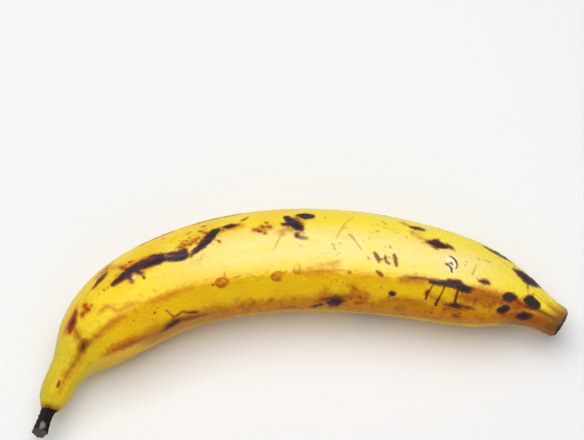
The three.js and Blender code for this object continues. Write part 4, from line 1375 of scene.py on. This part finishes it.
def peel_material():
    """Waxy yellow peel with its bruises, scars, dry stem and blossom scar, and with painted highlights and
    painted shade in its colour.
    """
    material = bpy.data.materials.new("bruised_peel")
    material.use_nodes = True
    n = Nodes(material.node_tree)
    shader = material.node_tree.nodes["Principled BSDF"]
    straight = n.read("straight_mm", "Vector")
    by = noises(n, straight)
    colour, core = marked_peel(n, sound_peel(n, by), straight, by)
    colour, on_stem = dry_stem(n, colour, by)
    colour, at_scar = blossom_scar(n, colour, by)
    n.give(shader.inputs["Base Color"], colour)

    dull = n.larger(on_stem, n.larger(at_scar, core))
    waxy = n.ramp(by["fine"], 0.3, 0.7, *WAX_ROUGHNESS)
    n.give(shader.inputs["Roughness"], n.math("ADD", waxy, n.times(dull, DULL_ADDS)))
    matt = n.larger(n.read("band"), n.times(n.read("golden"), 0.55))
    n.give(shader.inputs["Specular IOR Level"], n.ramp(matt, 0.0, 1.0, *SHINE))
    shader.inputs["Specular Tint"].default_value = SHINE_TINT
    height = n.math("ADD", n.times(by["fine"], 0.4), n.times(by["fibres"], 0.8))
    bump = n.new("ShaderNodeBump", Strength=GRAIN_STRENGTH, Distance=GRAIN_DEPTH, Height=height)
    n.give(shader.inputs["Normal"], bump.outputs["Normal"])
    return material


def floor():
    """A wide pale floor, level with the surface that the finger lies on."""
    bm = bmesh.new()
    bmesh.ops.create_grid(bm, x_segments=1, y_segments=1, size=FLOOR_HALF)
    mesh = bpy.data.meshes.new("floor")
    bm.to_mesh(mesh)
    bm.free()
    obj = bpy.data.objects.new("floor", mesh)
    bpy.context.scene.collection.objects.link(obj)
    obj.location.z = -FLOOR_GAP
    material = bpy.data.materials.new("pale_floor")
    material.use_nodes = True
    shader = material.node_tree.nodes["Principled BSDF"]
    shader.inputs["Base Color"].default_value = (FLOOR_GREY, FLOOR_GREY, FLOOR_GREY, 1)
    shader.inputs["Roughness"].default_value = FLOOR_ROUGHNESS
    mesh.materials.append(material)


def softbox(name, place, size, power):
    """A square area light that faces the finger's middle."""
    data = bpy.data.lights.new(name, "AREA")
    data.shape = "SQUARE"
    data.size = size
    data.energy = power
    obj = bpy.data.objects.new(name, data)
    obj.location = place
    obj.rotation_euler = (Vector(LIT_POINT) - obj.location).to_track_quat("-Z", "Y").to_euler()
    bpy.context.scene.collection.objects.link(obj)


def studio():
    """Soft light from above, a weaker fill and a pale surrounding."""
    softbox("overhead", *OVERHEAD)
    softbox("fill", *FILL)
    world = bpy.data.worlds.new("pale_room")
    world.use_nodes = True
    world.node_tree.nodes["Background"].inputs["Color"].default_value = (1, 1, 1, 1)
    world.node_tree.nodes["Background"].inputs["Strength"].default_value = ROOM_LIGHT
    bpy.context.scene.world = world
    bpy.context.scene.view_settings.view_transform = "Standard"


def camera():
    """The photograph's view, from above the hollow side."""
    data = bpy.data.cameras.new("camera")
    data.lens = LENS
    data.sensor_width = SENSOR
    obj = bpy.data.objects.new("camera", data)
    turn = Matrix((CAMERA_RIGHT, CAMERA_UP, TOWARDS_CAMERA)).transposed()
    place = Matrix.Translation((AIM + TOWARDS_CAMERA * CAMERA_DISTANCE) * MM)
    obj.matrix_world = place @ turn.to_4x4()
    data.clip_start = 0.05
    bpy.context.scene.collection.objects.link(obj)
    bpy.context.scene.camera = obj


camera()
studio()
floor()
plantain = peel_piece()
plantain.data.materials.append(peel_material())
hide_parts("plantain")
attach(plantain, "root")
